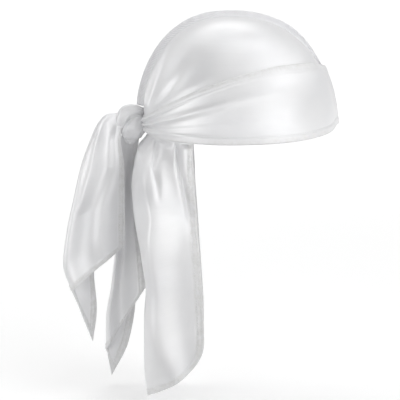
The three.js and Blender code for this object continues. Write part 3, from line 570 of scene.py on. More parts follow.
def band_gather(turn, share):
    """Soft ridges and creases that fan out from the knot and fade round the side."""
    from_knot = 1.0 - turn
    under_knot = ease((BAND_END_TURN - turn) / BAND_END_FADE)
    height = 0.0
    for at_knot, at_side, reach, width, rise in BAND_FOLDS:
        centre = mix(at_knot, at_side, ease(from_knot / reach))
        height = height + rise * bell(share - centre, width) * (1.0 - ease(from_knot / reach))
    return height * under_knot


def band_height(azimuth):
    return band_edge(azimuth, BAND_UPPER) - band_edge(azimuth, BAND_LOWER)


def band_face(place, share, face):
    """Band over the crown: place runs from the knot (-1) round the front (0) to the knot
    (1), share from the lower to the upper edge, face is -1 inside and 1 outside."""
    side = np.where(place < 0, -1.0, 1.0)
    turn = BAND_END_TURN * np.abs(place) ** BAND_SPACING
    azimuth = math.pi * turn
    z = mix(band_edge(azimuth, BAND_LOWER), band_edge(azimuth, BAND_UPPER), share)
    across = np.abs(head_point(side, azimuth, 0.0, 0.0)[..., 1])
    tent = PRESSED_SEAM + 2.0 * JOINT_GAP
    over_seam = np.where(turn < 0.5, tent * bell(across, 3.0 * tent), 0.0)
    tall = band_height(azimuth)
    rim = np.minimum(share, 1.0 - share) * tall
    ends = (1.0 - np.abs(place)) * 250.0
    upper = hem_profile((1.0 - share) * tall, BAND_UPPER_LINES)
    lower = hem_profile(share * tall, BAND_LOWER_LINES)
    half = BAND_CLOTH / 2 + BAND_HEM_SHARE * (upper + lower)
    half = half * rounded(np.minimum(rim, ends), BAND_CLOTH)
    middle = (BAND_INSIDE + BAND_OUTSIDE) / 2
    off = middle + over_seam + band_gather(turn, share) + face * half
    return head_point(side, azimuth, climb_to(azimuth, z, off), off)


def wrap_band(steps=420, across_steps=64):
    place = np.linspace(-1.0, 1.0, steps + 1)
    end = np.array([0.0, 0.0004, 0.0012])
    place = np.concatenate([-1.0 + end, place[1:-1], 1.0 - end[::-1]])[:, None]
    share = rim_steps(across_steps, 40.0, BAND_CLOTH)[None, :]
    hem = 1.0 - ease(np.minimum(share, 1 - share) / 0.12) + 0.0 * place
    inner = band_face(place, share, -1.0)
    outer = band_face(place, share, 1.0)
    return cloth_piece("wrap_band_cloth", inner, outer, hem)


# Knot


def smooth_path(rows, count):
    """Curve through rows of a table, one monotone cubic for each column."""
    rows = np.asarray(rows, float)
    at = np.linspace(0.0, 1.0, len(rows))
    fine = np.linspace(0.0, 1.0, count)
    return np.stack([through(at, rows[:, c], fine) for c in range(rows.shape[1])], axis=-1)


def knot_strand(name, rows, pleats, seed, count=110, sides=64):
    """Gathered strand: an oval profile carried along a path, its surface pleated
    lengthwise by waves of the angle, its ends drawn to a point."""
    path = smooth_path(rows, count)
    centre, width, depth = path[:, :3], path[:, 3], path[:, 4]
    tangent = unit(np.gradient(centre, axis=0))
    near = np.tile([0.3, -1.0, 0.1], (count, 1))
    broad = unit(np.cross(near, tangent))
    deep = unit(np.cross(tangent, broad))
    at = np.linspace(0.0, 1.0, count)
    closing = np.sqrt(np.clip(1.0 - np.abs(2.0 * at - 1.0) ** 14, 0.0, 1.0))
    angle = np.linspace(0.0, 2.0 * math.pi, sides, endpoint=False)
    drift = seed + 1.1 * at[:, None]
    pleat = 1.0 + 0.045 * np.cos(pleats * angle + 3.0 * drift)
    pleat = pleat + 0.03 * np.cos((pleats + 4) * angle - 2.0 * drift)
    power = 2.7
    oval = (np.abs(np.cos(angle)) ** power + np.abs(np.sin(angle)) ** power) ** (-1 / power)
    radius = closing[:, None] * pleat * oval[None, :]
    broad_reach = (radius * np.cos(angle) * width[:, None] / 2)[..., None]
    deep_reach = (radius * np.sin(angle) * depth[:, None] / 2)[..., None]
    points = centre[:, None, :] + broad[:, None, :] * broad_reach
    points = points + deep[:, None, :] * deep_reach + KNOT_CENTRE
    k = np.arange(count * sides).reshape(count, sides)
    nxt = np.roll(k, -1, axis=1)
    quads = np.stack([k[:-1], nxt[:-1], nxt[1:], k[1:]], axis=-1).reshape(-1, 4)
    run = np.concatenate([[0.0], np.cumsum(np.linalg.norm(np.diff(centre, axis=0), axis=1))])
    around = np.minimum(angle, 2 * math.pi - angle) * 6.0
    uv = np.stack(np.broadcast_arrays(run[:, None], around[None, :]), axis=-1) * MM
    return mesh_piece(name, points.reshape(-1, 3), [quads], uv.reshape(-1, 2))


# Neck flap


def flap_row(column, z):
    drop = (float(rim_height(math.pi)) - LAYER_GAP - z) / FLAP_LENGTH
    return through(FLAP_ROWS[:, 0], FLAP_ROWS[:, column], drop)


def far_plan(thread, z):
    """Plan of the far half at a height: between a straight line and a quarter oval."""
    bow = flap_row(4, z)
    forward = mix(thread, 1.0 - np.cos(thread * math.pi / 2), bow)
    outward = mix(thread, np.sin(thread * math.pi / 2), bow)
    x = -BACK_RADIUS * mix(flap_row(1, z), flap_row(2, z), forward)
    return stack(x, HALF_WIDTH * flap_row(3, z) * outward, z)


def near_plan(thread, z):
    """Plan of the near half at a height: under the band the head form's own plan; lower down
    nearly flat across the back, a quarter circle round the corner, then flat to the front
    edge, at an even pace along the cloth, with a shallow hollow beside the nape."""
    back = BACK_RADIUS * flap_row(1, z)
    long = back - BACK_RADIUS * flap_row(2, z)
    drop = (float(rim_height(math.pi)) - LAYER_GAP - z) / FLAP_LENGTH
    broad = HALF_WIDTH * through(NEAR_SPREAD_DROP, NEAR_SPREAD, drop)
    corner = CHANNEL_CORNER
    across_back = broad - corner
    bend = corner * math.pi / 2
    run = thread * (across_back + bend + long - corner)
    turn = np.clip((run - across_back) / corner, 0.0, math.pi / 2)
    straight = np.maximum(0.0, run - across_back - bend)
    channel_x = corner * (1.0 - np.cos(turn)) + straight
    channel_y = np.minimum(run, across_back) + corner * np.sin(turn)
    angle = thread * FLAP_TURN
    last_x, last_y = oval_plan(FLAP_TURN)
    oval_x, oval_y = oval_plan(angle)
    blend = ease(drop / CHANNEL_START)
    forward = mix(oval_x / last_x * long, channel_x, blend)
    outward = mix(oval_y / last_y * broad, channel_y, blend)
    lead = CORNER_LEAD * outward * (1.0 - forward / long)
    held = 1.0 - ease(drop / NAPE_FOLD_DROP)
    fold = NAPE_FOLD * bell(thread - NAPE_FOLD_PLACE, NAPE_FOLD_WIDTH) * held
    return stack(-back + forward + lead - fold, -outward, z)


def oval_plan(angle):
    """Place on the head form's plan at an angle from the nape: forward of it and outward."""
    along = np.abs(np.cos(angle))
    across = np.abs(np.sin(angle))
    spread = (along**PLAN_POWER + across**PLAN_POWER) ** (-1.0 / PLAN_POWER)
    return BACK_RADIUS * (1.0 - along * spread), HALF_WIDTH * across * spread


def ridges(rows_of_each, drop, place, scale):
    """Sum of ridges whose crest wanders over the cloth: a bell across, narrower behind the
    crest than ahead of it, with every value a smooth curve along the drop."""
    height = 0.0
    for rows in rows_of_each:
        table = np.array(rows)
        values = [through(table[:, 0], table[:, c], drop) for c in (1, 2, 3, 4)]
        crest, rise, behind, ahead = values
        distance = (place - crest) * scale
        height = height + rise * bell(distance, np.where(distance < 0, behind, ahead))
    return height


def far_folds(thread, drop):
    """Sum of bells across the cloth whose middle wanders from start to end of each fold."""
    height = 0.0
    for first, middle, last, start, end, width, rise in FAR_FLAP_FOLDS:
        at = np.clip((drop - start) / (end - start), 0.0, 1.0)
        centre = through([0.0, 0.5, 1.0], [first, middle, last], at)
        fade = ease(at * 6.0) * ease((1.0 - at) * 3.5)
        height = height + rise * bell(thread - centre, width) * fade
    return height


def flap_hang(side, thread, z):
    """Point of the flap's middle surface at a thread and a height: on the head form behind
    the band, then blended out to the hanging plan, with the folds raised from it."""
    azimuth = math.pi - thread * FLAP_TURN
    rim = rim_height(azimuth) - LAYER_GAP
    hem = band_edge(azimuth, BAND_LOWER) - 2.0 * LAYER_GAP
    half = FLAP_CLOTH / 2
    upper = head_point(side, azimuth, climb_to(azimuth, np.maximum(z, hem), half), half)
    blend = ease((hem - z) / (mix(0.05, 0.14, thread) * FLAP_LENGTH))
    raised = ease((hem - z) / (0.02 * FLAP_LENGTH))
    drop = (rim - z) / FLAP_LENGTH
    far = far_plan(thread, z)
    nudge = 0.01
    run = unit(far_plan(np.minimum(1.0, thread + nudge), z)
               - far_plan(np.maximum(0.0, thread - nudge), z))
    spread = stack(-np.abs(run[..., 1]), np.abs(run[..., 0]), 0.0)
    far = far + spread * far_folds(thread, drop)[..., None]
    near = near_plan(thread, z)
    back = -BACK_RADIUS * flap_row(1, z)
    long = BACK_RADIUS * (flap_row(1, z) - flap_row(2, z))
    near_rise = ridges(NEAR_FLAP_RIDGES, drop, (near[..., 0] - back) / long, long)
    side = side + 0.0 * z
    hanging = np.where((side < 0)[..., None], near, far)
    point = mix(upper, hanging, blend[..., None])
    point[..., 1] -= np.where(side < 0, near_rise * raised, 0.0)
    point[..., 2] = z
    return point


def flap_end(side, thread):
    """Height of the rounded hem at a thread: a quarter oval at the front corner."""
    corner = FLAP_CORNER * (1.0 - np.sqrt(np.maximum(0.0, 1.0 - thread**2)))
    length = (FLAP_LENGTH - corner) * np.where(side < 0, 1.0, FAR_FLAP_SHARE)
    return float(rim_height(math.pi)) - LAYER_GAP - length


def flap_surface(across, down):
    """Middle surface of the flap: across from the near front edge (0) over the nape (0.5)
    to the far front edge (1), down from its top to its hem."""
    place = 2.0 * across - 1.0
    side = np.where(place < 0, -1.0, 1.0)
    thread = np.abs(place)
    azimuth = math.pi - thread * FLAP_TURN
    top = rim_height(azimuth) - LAYER_GAP
    return flap_hang(side, thread, mix(top, flap_end(side, thread), down))


def neck_flap(across_steps=230, down_steps=190):
    edge = 1.0 - np.cos(np.linspace(0.0, math.pi / 2, 24))
    ends = edge * 0.08
    middle = np.linspace(0.08, 0.92, across_steps - 46)[1:-1]
    across = np.concatenate([ends, middle, 1.0 - ends[::-1]])[:, None]
    down = rim_steps(down_steps, FLAP_LENGTH, FLAP_CLOTH)[None, :]
    points = flap_surface(across, down)
    width = np.where(across < 0.5, NEAR_FLAP_WIDTH, FAR_FLAP_WIDTH)
    side_rim = (1.0 - np.abs(2.0 * across - 1.0)) * width + 0.0 * down
    end_rim = (1.0 - down) * FLAP_LENGTH + 0.0 * across
    top_rim = down * FLAP_LENGTH + 0.0 * across
    distance = np.minimum(side_rim, end_rim)
    half = FLAP_CLOTH / 2 + HANGING_HEM_SHARE * hem_profile(distance, HEM_LINES)
    half = half * rounded(np.minimum(distance, top_rim), FLAP_CLOTH)
    hem = 1.0 - ease((distance - HEM_WIDTH) / 2.0)
    return sheet_piece("neck_flap_cloth", points, half, hem)


# Tie ends


def tie_surface(rows, folds, spread, length, across, down):
    """Folded strip: from the front layer's free edge over a soft fold to the back layer's,
    blended between three long edges, with rolled cheeks beside the fold and long folds."""
    scale = np.array([spread, spread, length])

    def edge(first):
        values = [through(rows[:, 0], rows[:, first + axis], down) for axis in range(3)]
        return stack(*values) * scale

    def ramp(distance):
        reach = np.hypot(np.maximum(0.0, distance), TIE_FOLD_SOFTNESS)
        return reach - TIE_FOLD_SOFTNESS

    fold = edge(1)
    front = edge(4) - fold
    rear = edge(7) - fold
    to_front = ramp(TIE_FOLD_AT - across) / ramp(TIE_FOLD_AT)
    to_rear = ramp(across - TIE_FOLD_AT) / ramp(1.0 - TIE_FOLD_AT)
    past = across - TIE_FOLD_AT
    cheeks = bell(past + TIE_CHEEK, TIE_CHEEK) - bell(past - TIE_CHEEK, TIE_CHEEK)
    raised = ROLL_RADIUS * ease(down * 5.0) * cheeks
    for rows_of_one in folds:
        table = np.array(rows_of_one)
        values = [through(table[:, 0], table[:, c], down) for c in (1, 2, 3, 4)]
        crest, rise, behind, ahead = values
        distance = crest - across
        raised = raised + rise * bell(distance, np.where(distance < 0, behind, ahead))
    point = fold + front * to_front[..., None] + rear * to_rear[..., None] + KNOT_CENTRE
    point[..., 1] = point[..., 1] - raised
    return point


def tie_end(name, rows, folds, spread, length, width, across_steps=130, down_steps=190):
    across = rim_steps(across_steps, width, TIE_CLOTH)[:, None]
    down = rim_steps(down_steps, length, TIE_CLOTH)[None, :]
    points = tie_surface(rows, folds, spread, length, across, down)
    side_rim = np.minimum(across, 1.0 - across) * width + 0.0 * down
    cut_rim = (1.0 - down) * length + 0.0 * across
    root_rim = down * length + 0.0 * across
    distance = np.minimum(side_rim, cut_rim)
    half = TIE_CLOTH / 2 + HANGING_HEM_SHARE * hem_profile(distance, HEM_LINES)
    half = half * rounded(np.minimum(distance, root_rim), TIE_CLOTH)
    hem = 1.0 - ease((distance - HEM_WIDTH) / 2.0)
    return sheet_piece(name, points, half, hem)


# Sewing


def sewn_line(surface, a, b, outward, pitch=STITCH_PITCH):
    """Centres, directions and normals of stitches at an even pitch along a line of a
    surface; a and b are the surface's two shares along the line."""
    points = surface(a, b)
    run = np.concatenate([[0.0], np.cumsum(np.linalg.norm(np.diff(points, axis=0), axis=1))])
    places = np.arange(pitch / 2, run[-1], pitch)
    a_at = np.interp(places, run, a)
    b_at = np.interp(places, run, b)
    ahead = np.interp(places + 0.2, run, a), np.interp(places + 0.2, run, b)
    behind = np.interp(places - 0.2, run, a), np.interp(places - 0.2, run, b)
    direction = unit(surface(*ahead) - surface(*behind))
    nudge = 1e-4
    tangent_a = surface(a_at + nudge, b_at) - surface(a_at - nudge, b_at)
    tangent_b = surface(a_at, b_at + nudge) - surface(a_at, b_at - nudge)
    normal = unit(np.cross(tangent_a, tangent_b))
    towards = outward(surface(a_at, b_at)) if callable(outward) else outward
    normal = normal * np.sign(np.sum(normal * towards, axis=-1, keepdims=True) + 1e-9)
    return surface(a_at, b_at), direction, normal


def stitch_piece(name, lines, length=STITCH_LENGTH, radius=THREAD_RADIUS):
    """Threads as small closed spindles of 24 faces: three rings of six points between two
    poles, laid along each direction and half sunk into the cloth."""
    centre = np.concatenate([line[0] for line in lines])
    along = np.concatenate([line[1] for line in lines])
    normal = np.concatenate([line[2] for line in lines])
    beside = unit(np.cross(normal, along))
    normal = np.cross(along, beside)
    angle = np.arange(6) * math.pi / 3
    ring = np.stack([np.cos(angle), np.sin(angle)], axis=-1)
    parts = [np.array([[-1.0, 0.0, 0.0]])]
    for place, size in ((-0.72, 0.8), (0.0, 1.0), (0.72, 0.8)):
        parts.append(np.column_stack([np.full(6, place), ring * size]))
    parts.append(np.array([[1.0, 0.0, 0.0]]))
    shape = np.concatenate(parts) * [length / 2, radius, radius]
    points = (centre[:, None] + along[:, None] * shape[None, :, :1]
              + beside[:, None] * shape[None, :, 1:2] + normal[:, None] * shape[None, :, 2:])
    k = np.arange(6)
    after = (k + 1) % 6
    start = np.stack([np.zeros(6, int), 1 + after, 1 + k], axis=-1)
    finish = np.stack([np.full(6, 19), 13 + k, 13 + after], axis=-1)
    walls = [np.stack([r + k, r + after, r + 6 + after, r + 6 + k], axis=-1) for r in (1, 7)]
    shift = (np.arange(len(centre)) * len(shape))[:, None, None]
    tris = (np.concatenate([start, finish])[None] + shift).reshape(-1, 3)
    quads = (np.concatenate(walls)[None] + shift).reshape(-1, 4)
    return mesh_piece(name, points.reshape(-1, 3), [tris, quads])


def band_stitches():
    """Two lines below the upper edge and one above the lower edge, at even distances."""
    place = np.linspace(-0.955, 0.955, 900)
    tall = band_height(math.pi * BAND_END_TURN * np.abs(place) ** BAND_SPACING)

    def outer(a, b):
        return band_face(a, b, 1.0)

    def away(points):
        return points - np.array([0.0, 0.0, -60.0])

    lines = []
    for distance in BAND_UPPER_LINES:
        inset = np.minimum(distance / tall, 0.3)
        lines.append(sewn_line(outer, place, 1.0 - inset, away))
    for distance in BAND_LOWER_LINES:
        inset = np.minimum(distance / tall, 0.45)
        lines.append(sewn_line(outer, place, inset, away))
    return stitch_piece("band_stitches", lines)


def flap_stitches():
    """Double rows round the free edge of the flap, on its outer face: down the front edge
    at an even distance, then round the inset oval corner."""
    top = float(rim_height(math.pi)) - LAYER_GAP
    lines = []
    for side in (-1.0, 1.0):
        length = FLAP_LENGTH * (1.0 if side < 0 else FAR_FLAP_SHARE)
        corner = FLAP_CORNER * (1.0 if side < 0 else FAR_FLAP_SHARE)
        for inset in HEM_LINES:
            near = 1.0 - inset / (NEAR_FLAP_WIDTH if side < 0 else FAR_FLAP_WIDTH)
            centre = top - length + corner
            straight = np.linspace(-128.0, centre, 300)
            turn = np.linspace(0.0, math.pi / 2, 300)[1:]
            thread = np.concatenate([np.full(300, near), near * np.cos(turn)])
            z = np.concatenate([straight, centre - (corner - inset) * np.sin(turn)])

            def middle(a, b, side=side):
                return flap_hang(side, np.abs(a), b)

            def away(points):
                return (points - np.array([-60.0, 0.0, 0.0])) * [1, 1, 0]

            centre, direction, normal = sewn_line(middle, thread, z, away)
            lift = FLAP_CLOTH / 2 + HANGING_HEM_SHARE * HEM_THICKENING - STITCH_SINK
            lines.append((centre + normal * lift, direction, normal))
    return stitch_piece("flap_stitches", lines)


def tie_stitches():
    """Double rows along each slanting cut and one row along each long free edge."""
    lines = []
    for rows, folds, spread, length, width in (NEAR_TIE, FAR_TIE):

        def middle(a, b, rows=rows, folds=folds, spread=spread, length=length):
            return tie_surface(rows, folds, spread, length, a, b)

        paths = []
        for inset in HEM_LINES:
            across = np.linspace(inset / width, 1.0 - inset / width, 400)
            paths.append((across, np.full(400, 1.0 - inset / length)))
            down = np.linspace(0.16, 1.0 - inset / length, 400)
            paths.append((np.full(400, inset / width), down))
            paths.append((np.full(400, 1.0 - inset / width), down))
        for a, b in paths:
            for face in (-1.0, 1.0):
                centre, direction, normal = sewn_line(middle, a, b, np.array([0.0, 1.0, 0.0]))
                lift = TIE_CLOTH / 2 + HANGING_HEM_SHARE * HEM_THICKENING - STITCH_SINK
                lines.append((centre + normal * face * lift, direction, normal * face))
    return stitch_piece("tie_stitches", lines)


def seam_threads():
    """Overlock along the standing seam: slanting threads over both sides and the edge."""
    foot, top, height = seam_line()
    run = np.concatenate([[0.0], np.cumsum(np.linalg.norm(np.diff(top, axis=0), axis=1))])
    places = np.arange(1.0, run[-1], 1.9)

    def at(values):
        return np.stack([np.interp(places, run, values[:, c]) for c in range(3)], axis=-1)

    tall = np.interp(places, run, height)
    outward = unit(at(top) - at(foot))
    along = unit(np.gradient(at(top), axis=0))
    lines = []
    for side in (-1.0, 1.0):
        beside = np.tile([0.0, side, 0.0], (len(places), 1))
        wave = 0.35 * np.sin(places * 2 * math.pi / 11.0)
        centre = at(foot) + outward * (0.62 * tall)[:, None] + beside * (SEAM_CLOTH / 2 + 0.03)
        centre[:, 1] += 0.4 * wave
        direction = unit(outward + 0.35 * along)
        lines.append((centre, direction, beside))
    return stitch_piece("overlock_threads", lines, length=4.2, radius=0.27)


# Materials


def material(name, colour, roughness, sheen, level, anisotropic, metallic=0.0):
    made = bpy.data.materials.new(name)
    made.use_nodes = True
    shader = made.node_tree.nodes["Principled BSDF"]
    shader.inputs["Base Color"].default_value = (*colour, 1.0)
    shader.inputs["Roughness"].default_value = roughness
    shader.inputs["Specular IOR Level"].default_value = level
    shader.inputs["IOR"].default_value = 1.8
    shader.inputs["Sheen Weight"].default_value = sheen
    shader.inputs["Sheen Roughness"].default_value = 0.4
    shader.inputs["Anisotropic"].default_value = anisotropic
    shader.inputs["Metallic"].default_value = metallic
    return made, made.node_tree.nodes, made.node_tree.links, shader


def noise(nodes, links, source, scale, detail, stretch=(1.0, 1.0, 1.0)):
    mapping = nodes.new("ShaderNodeMapping")
    mapping.inputs["Scale"].default_value = stretch
    links.new(source, mapping.inputs["Vector"])
    texture = nodes.new("ShaderNodeTexNoise")
    texture.inputs["Scale"].default_value = scale
    texture.inputs["Detail"].default_value = detail
    links.new(mapping.outputs["Vector"], texture.inputs["Vector"])
    return texture.outputs["Fac"]


def between(nodes, links, share, low, high):
    spread = nodes.new("ShaderNodeMapRange")
    spread.inputs["To Min"].default_value = low
    spread.inputs["To Max"].default_value = high
    links.new(share, spread.inputs["Value"])
    return spread.outputs["Result"]


def satin_cloth():
    """White satin: fine floats of the weave, soft streaks along the threads, patches of slightly
    different tone, and hems that are a little rougher and painted darker in a mottle that stands for
    the shade of stitch puckers, with a slightly warm worn tint."""
    made, nodes, links, shader = material(
        "white_satin", (0.72, 0.72, 0.73), 0.44, 0.12, 0.85, 0.35, 0.35)
    cloth = nodes.new("ShaderNodeUVMap")
    cloth.uv_map = "cloth"
    body = nodes.new("ShaderNodeTexCoord")
    patches = noise(nodes, links, body.outputs["Object"], 22.0, 3.0)
    tones = nodes.new("ShaderNodeValToRGB")
    tones.color_ramp.elements[0].position = 0.3
    tones.color_ramp.elements[0].color = (0.76, 0.762, 0.775, 1.0)
    tones.color_ramp.elements[1].position = 0.7
    tones.color_ramp.elements[1].color = (0.81, 0.81, 0.815, 1.0)
    links.new(patches, tones.inputs["Fac"])
    hem = nodes.new("ShaderNodeAttribute")
    hem.attribute_name = "hem"
    # painted shade: the hems are darkened in a mottle standing for the shade of stitch puckers, with a
    # slightly warm worn tint
    worn = nodes.new("ShaderNodeMix")
    worn.data_type = "RGBA"
    worn.inputs["B"].default_value = (0.7, 0.697, 0.69, 1.0)
    # this noise only mottles the painted pucker shade; the hems carry no pucker shapes
    puckers = noise(nodes, links, body.outputs["Object"], 260.0, 2.0)
    pucker_shade_mottle = between(nodes, links, puckers, -0.6, 1.7)
    hem_pucker_shade_and_wear = nodes.new("ShaderNodeMath")
    hem_pucker_shade_and_wear.operation = "MULTIPLY"
    hem_pucker_shade_and_wear.use_clamp = True
    links.new(hem.outputs["Fac"], hem_pucker_shade_and_wear.inputs[0])
    links.new(pucker_shade_mottle, hem_pucker_shade_and_wear.inputs[1])
    links.new(hem_pucker_shade_and_wear.outputs["Value"], worn.inputs["Factor"])
    links.new(tones.outputs["Color"], worn.inputs["A"])
    links.new(worn.outputs["Result"], shader.inputs["Base Color"])
    gloss = noise(nodes, links, cloth.outputs["UV"], 40.0, 2.0, (1.0, 6.0, 1.0))
    base_gloss = between(nodes, links, gloss, 0.4, 0.5)
    dull = nodes.new("ShaderNodeMath")
    dull.operation = "MULTIPLY_ADD"
    dull.inputs[1].default_value = 0.08
    links.new(hem.outputs["Fac"], dull.inputs[0])
    links.new(base_gloss, dull.inputs[2])
    links.new(dull.outputs["Value"], shader.inputs["Roughness"])
    weave = nodes.new("ShaderNodeTexWave")
    weave.bands_direction = "X"
    weave.inputs["Scale"].default_value = 1200.0
    weave.inputs["Distortion"].default_value = 1.5
    weave.inputs["Detail"].default_value = 1.0
    links.new(cloth.outputs["UV"], weave.inputs["Vector"])
    fine = nodes.new("ShaderNodeBump")
    fine.inputs["Strength"].default_value = 0.12
    fine.inputs["Distance"].default_value = 0.00004
    links.new(weave.outputs["Fac"], fine.inputs["Height"])
    streaks = noise(nodes, links, cloth.outputs["UV"], 60.0, 3.0, (0.35, 2.2, 1.0))
    soft = nodes.new("ShaderNodeBump")
    soft.inputs["Strength"].default_value = 0.35
    soft.inputs["Distance"].default_value = 0.0006
    links.new(streaks, soft.inputs["Height"])
    links.new(fine.outputs["Normal"], soft.inputs["Normal"])
    links.new(soft.outputs["Normal"], shader.inputs["Normal"])
    return made


def seam_cloth():
    """Satin of the standing seam under its overlock: duller, with close slanting threads."""
    made, nodes, links, shader = material("seam_satin", (0.76, 0.76, 0.77), 0.5, 0.1, 0.6, 0.0)
    cloth = nodes.new("ShaderNodeUVMap")
    cloth.uv_map = "cloth"
    threads = nodes.new("ShaderNodeTexWave")
    threads.bands_direction = "DIAGONAL"
    threads.inputs["Scale"].default_value = 180.0
    threads.inputs["Distortion"].default_value = 2.0
    links.new(cloth.outputs["UV"], threads.inputs["Vector"])
    tones = nodes.new("ShaderNodeValToRGB")
    tones.color_ramp.elements[0].color = (0.74, 0.74, 0.76, 1.0)
    tones.color_ramp.elements[1].color = (0.92, 0.92, 0.93, 1.0)
    links.new(threads.outputs["Fac"], tones.inputs["Fac"])
    links.new(tones.outputs["Color"], shader.inputs["Base Color"])
    bump = nodes.new("ShaderNodeBump")
    bump.inputs["Strength"].default_value = 0.6
    bump.inputs["Distance"].default_value = 0.0003
    links.new(threads.outputs["Fac"], bump.inputs["Height"])
    links.new(bump.outputs["Normal"], shader.inputs["Normal"])
    return made


def sewing_thread():
    """Polyester thread: twisted plies as a fine slanting wave, slightly uneven tone."""
    made, nodes, links, shader = material("sewing_thread", (0.74, 0.74, 0.75), 0.55, 0.15, 0.5, 0.0)
    body = nodes.new("ShaderNodeTexCoord")
    plies = nodes.new("ShaderNodeTexWave")
    plies.bands_direction = "DIAGONAL"
    plies.inputs["Scale"].default_value = 900.0
    links.new(body.outputs["Object"], plies.inputs["Vector"])
    tones = nodes.new("ShaderNodeValToRGB")
    tones.color_ramp.elements[0].color = (0.68, 0.68, 0.69, 1.0)
    tones.color_ramp.elements[1].color = (0.82, 0.82, 0.83, 1.0)
    links.new(noise(nodes, links, body.outputs["Object"], 120.0, 2.0), tones.inputs["Fac"])
    links.new(tones.outputs["Color"], shader.inputs["Base Color"])
    bump = nodes.new("ShaderNodeBump")
    bump.inputs["Strength"].default_value = 0.4
    bump.inputs["Distance"].default_value = 0.00008
    links.new(plies.outputs["Fac"], bump.inputs["Height"])
    links.new(bump.outputs["Normal"], shader.inputs["Normal"])
    return made


# Camera, floor and light

SIGHT = Vector((-0.030, 0.0, -0.1812))
SIGHT_DISTANCE = 1.8
SIGHT_TILT = math.radians(8.0)


def camera():
    data = bpy.data.cameras.new("camera")
    data.lens = 162.0
    data.sensor_width = 36.0
    data.clip_end = 120.0
    made = bpy.data.objects.new("camera", data)
    made.location = SIGHT + SIGHT_DISTANCE * Vector((0.0, -math.cos(SIGHT_TILT), math.sin(SIGHT_TILT)))
    made.rotation_euler = (math.pi / 2 - SIGHT_TILT, 0.0, 0.0)
    bpy.context.scene.collection.objects.link(made)
    bpy.context.scene.camera = made


def softbox(name, azimuth, elevation, distance, width, height, power):
    """Area light aimed at the durag; azimuth is to the right of the camera's side."""
    data = bpy.data.lights.new(name, "AREA")
    data.shape = "RECTANGLE"
    data.size = width
    data.size_y = height
    data.energy = power
    made = bpy.data.objects.new(name, data)
    a, e = math.radians(azimuth), math.radians(elevation)
    way = Vector((math.sin(a) * math.cos(e), -math.cos(a) * math.cos(e), math.sin(e)))
    made.location = Vector((-0.01, 0.0, -0.13)) + way * distance
    made.rotation_euler = way.to_track_quat("Z", "Y").to_euler()
    bpy.context.scene.collection.objects.link(made)


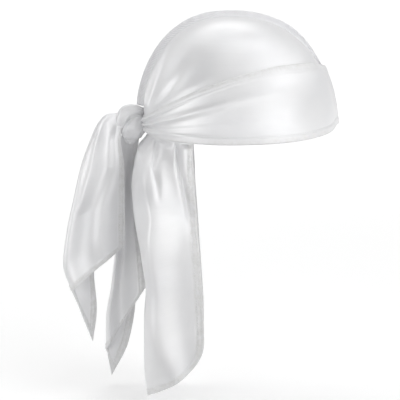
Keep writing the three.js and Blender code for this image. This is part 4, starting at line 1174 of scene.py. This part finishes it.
def studio():
    """Floor that glows though it is no lamp: grey and dimly glowing on the camera's side, white and
    brightly glowing under and behind the durag and to its right, its glow weaker near the durag and
    stronger far away; surroundings that are dimmer on the camera's side, softboxes."""
    corners = np.array([(-40.0, -40.0), (40.0, -40.0), (40.0, 40.0), (-40.0, 40.0)]) / MM
    points = np.column_stack([corners, np.full(4, FLOOR_LEVEL)])
    mesh = bpy.data.meshes.new("floor")
    mesh.from_pydata((points * MM).tolist(), [], [(0, 1, 2, 3)])
    floor = bpy.data.objects.new("floor", mesh)
    bpy.context.scene.collection.objects.link(floor)
    made, nodes, links, shader = material("glowing_floor", (0.8, 0.8, 0.8), 0.8, 0.0, 0.2, 0.0)
    where = nodes.new("ShaderNodeTexCoord")
    away = nodes.new("ShaderNodeVectorMath")
    away.operation = "LENGTH"
    links.new(where.outputs["Object"], away.inputs[0])
    # painted light: the floor glows, weaker near the durag and stronger far away, so that the far
    # floor reads white
    glow = nodes.new("ShaderNodeMapRange")
    glow.interpolation_type = "SMOOTHSTEP"
    glow.inputs["From Min"].default_value = 0.3
    glow.inputs["From Max"].default_value = 3.5
    glow.inputs["To Min"].default_value = 0.27
    glow.inputs["To Max"].default_value = 0.75
    links.new(away.outputs["Value"], glow.inputs["Value"])
    links.new(glow.outputs["Result"], shader.inputs["Emission Strength"])
    glowing_sheets = []
    for way, start, end in (((0.0, 1.0, 0.0), -0.18, -0.05), ((0.93, 0.37, 0.0), 0.03, 0.15)):
        reach = nodes.new("ShaderNodeVectorMath")
        reach.operation = "DOT_PRODUCT"
        reach.inputs[1].default_value = way
        links.new(where.outputs["Object"], reach.inputs[0])
        edge = nodes.new("ShaderNodeMapRange")
        edge.interpolation_type = "SMOOTHSTEP"
        edge.inputs["From Min"].default_value = start
        edge.inputs["From Max"].default_value = end
        links.new(reach.outputs["Value"], edge.inputs["Value"])
        glowing_sheets.append(edge.outputs["Result"])
    glowing_sheet_share = nodes.new("ShaderNodeMath")
    glowing_sheet_share.operation = "MAXIMUM"
    links.new(glowing_sheets[0], glowing_sheet_share.inputs[0])
    links.new(glowing_sheets[1], glowing_sheet_share.inputs[1])
    # painted light: the two sheets are white and glow brightly, and the floor around them is grey and
    # glows dimly
    for name, dark, light in (("Base Color", 0.4, 0.8), ("Emission Color", 0.45, 1.0)):
        tone = nodes.new("ShaderNodeMix")
        tone.data_type = "RGBA"
        tone.inputs["A"].default_value = (dark, dark, dark, 1.0)
        tone.inputs["B"].default_value = (light, light, light, 1.0)
        links.new(glowing_sheet_share.outputs["Value"], tone.inputs["Factor"])
        links.new(tone.outputs["Result"], shader.inputs[name])
    mesh.materials.append(made)
    world = bpy.data.worlds.new("studio")
    world.use_nodes = True
    bpy.context.scene.world = world
    nodes, links = world.node_tree.nodes, world.node_tree.links
    where = nodes.new("ShaderNodeTexCoord")
    parts = nodes.new("ShaderNodeSeparateXYZ")
    links.new(where.outputs["Generated"], parts.inputs["Vector"])
    dim = nodes.new("ShaderNodeMapRange")
    dim.interpolation_type = "SMOOTHSTEP"
    dim.inputs["From Min"].default_value = -0.9
    dim.inputs["From Max"].default_value = 0.5
    dim.inputs["To Min"].default_value = 0.1
    dim.inputs["To Max"].default_value = 0.64
    links.new(parts.outputs["Y"], dim.inputs["Value"])
    links.new(dim.outputs["Result"], nodes["Background"].inputs["Strength"])
    nodes["Background"].inputs["Color"].default_value = (1.0, 1.0, 1.0, 1.0)
    for name, azimuth, elevation, power in (
            ("right_low", 35.0, 3.0, 9.5), ("right_middle", 50.0, 35.0, 8.0),
            ("right_high", 60.0, 65.0, 6.0), ("front_right", 20.0, 35.0, 3.0),
            ("front_low", 0.0, 3.0, 2.5), ("front_high", 0.0, 65.0, 2.5),
            ("left_low", -38.0, 3.0, 9.0), ("left_side", -62.0, 3.0, 4.5),
            ("left_middle", -90.0, 35.0, 3.5), ("left_high", -120.0, 65.0, 3.5),
            ("rear_left", -150.0, 3.0, 4.5), ("rear_high", 180.0, 65.0, 5.0),
            ("rear_right", 90.0, 35.0, 2.5)):
        softbox(name + "_softbox", azimuth, elevation, 2.2, 1.0, 1.0, power)


# Assembly

camera()
studio()
bpy.context.scene.view_settings.view_transform = "Standard"

satin = satin_cloth()
seam_satin = seam_cloth()
thread = sewing_thread()


def finish_piece(piece, look, slot, *nodes):
    piece.data.materials.append(look)
    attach(piece, "root")
    if nodes:
        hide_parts(*nodes)
    return piece


crown_right = finish_piece(crown_panel("crown_right_cloth", -1.0), satin, "satin", "crown_right")
crown_left = finish_piece(crown_panel("crown_left_cloth", 1.0), satin, "satin", "crown_left")
finish_piece(crown_seam(), seam_satin, "seam_edge", "crown_seam")
finish_piece(seam_threads(), thread, "seam_edge")
band = finish_piece(wrap_band(), satin, "satin", "wrap_band")
finish_piece(knot_strand("knot_upper_strand", UPPER_STRAND, 7, 0.3), satin, "satin", "knot_strand")
finish_piece(knot_strand("knot_lower_strand", LOWER_STRAND, 6, 1.2), satin, "satin", "knot_core")
finish_piece(knot_strand("knot_back_strand", BACK_STRAND, 7, 2.0), satin, "satin", "knot_core")
near_tie = finish_piece(tie_end("near_tie_cloth", *NEAR_TIE), satin, "satin", "near_tie_end")
far_tie = finish_piece(tie_end("far_tie_cloth", *FAR_TIE), satin, "satin", "far_tie_end")
flap = finish_piece(neck_flap(), satin, "satin", "neck_flap")
finish_piece(band_stitches(), thread, "satin")
finish_piece(flap_stitches(), thread, "satin")
finish_piece(tie_stitches(), thread, "satin")
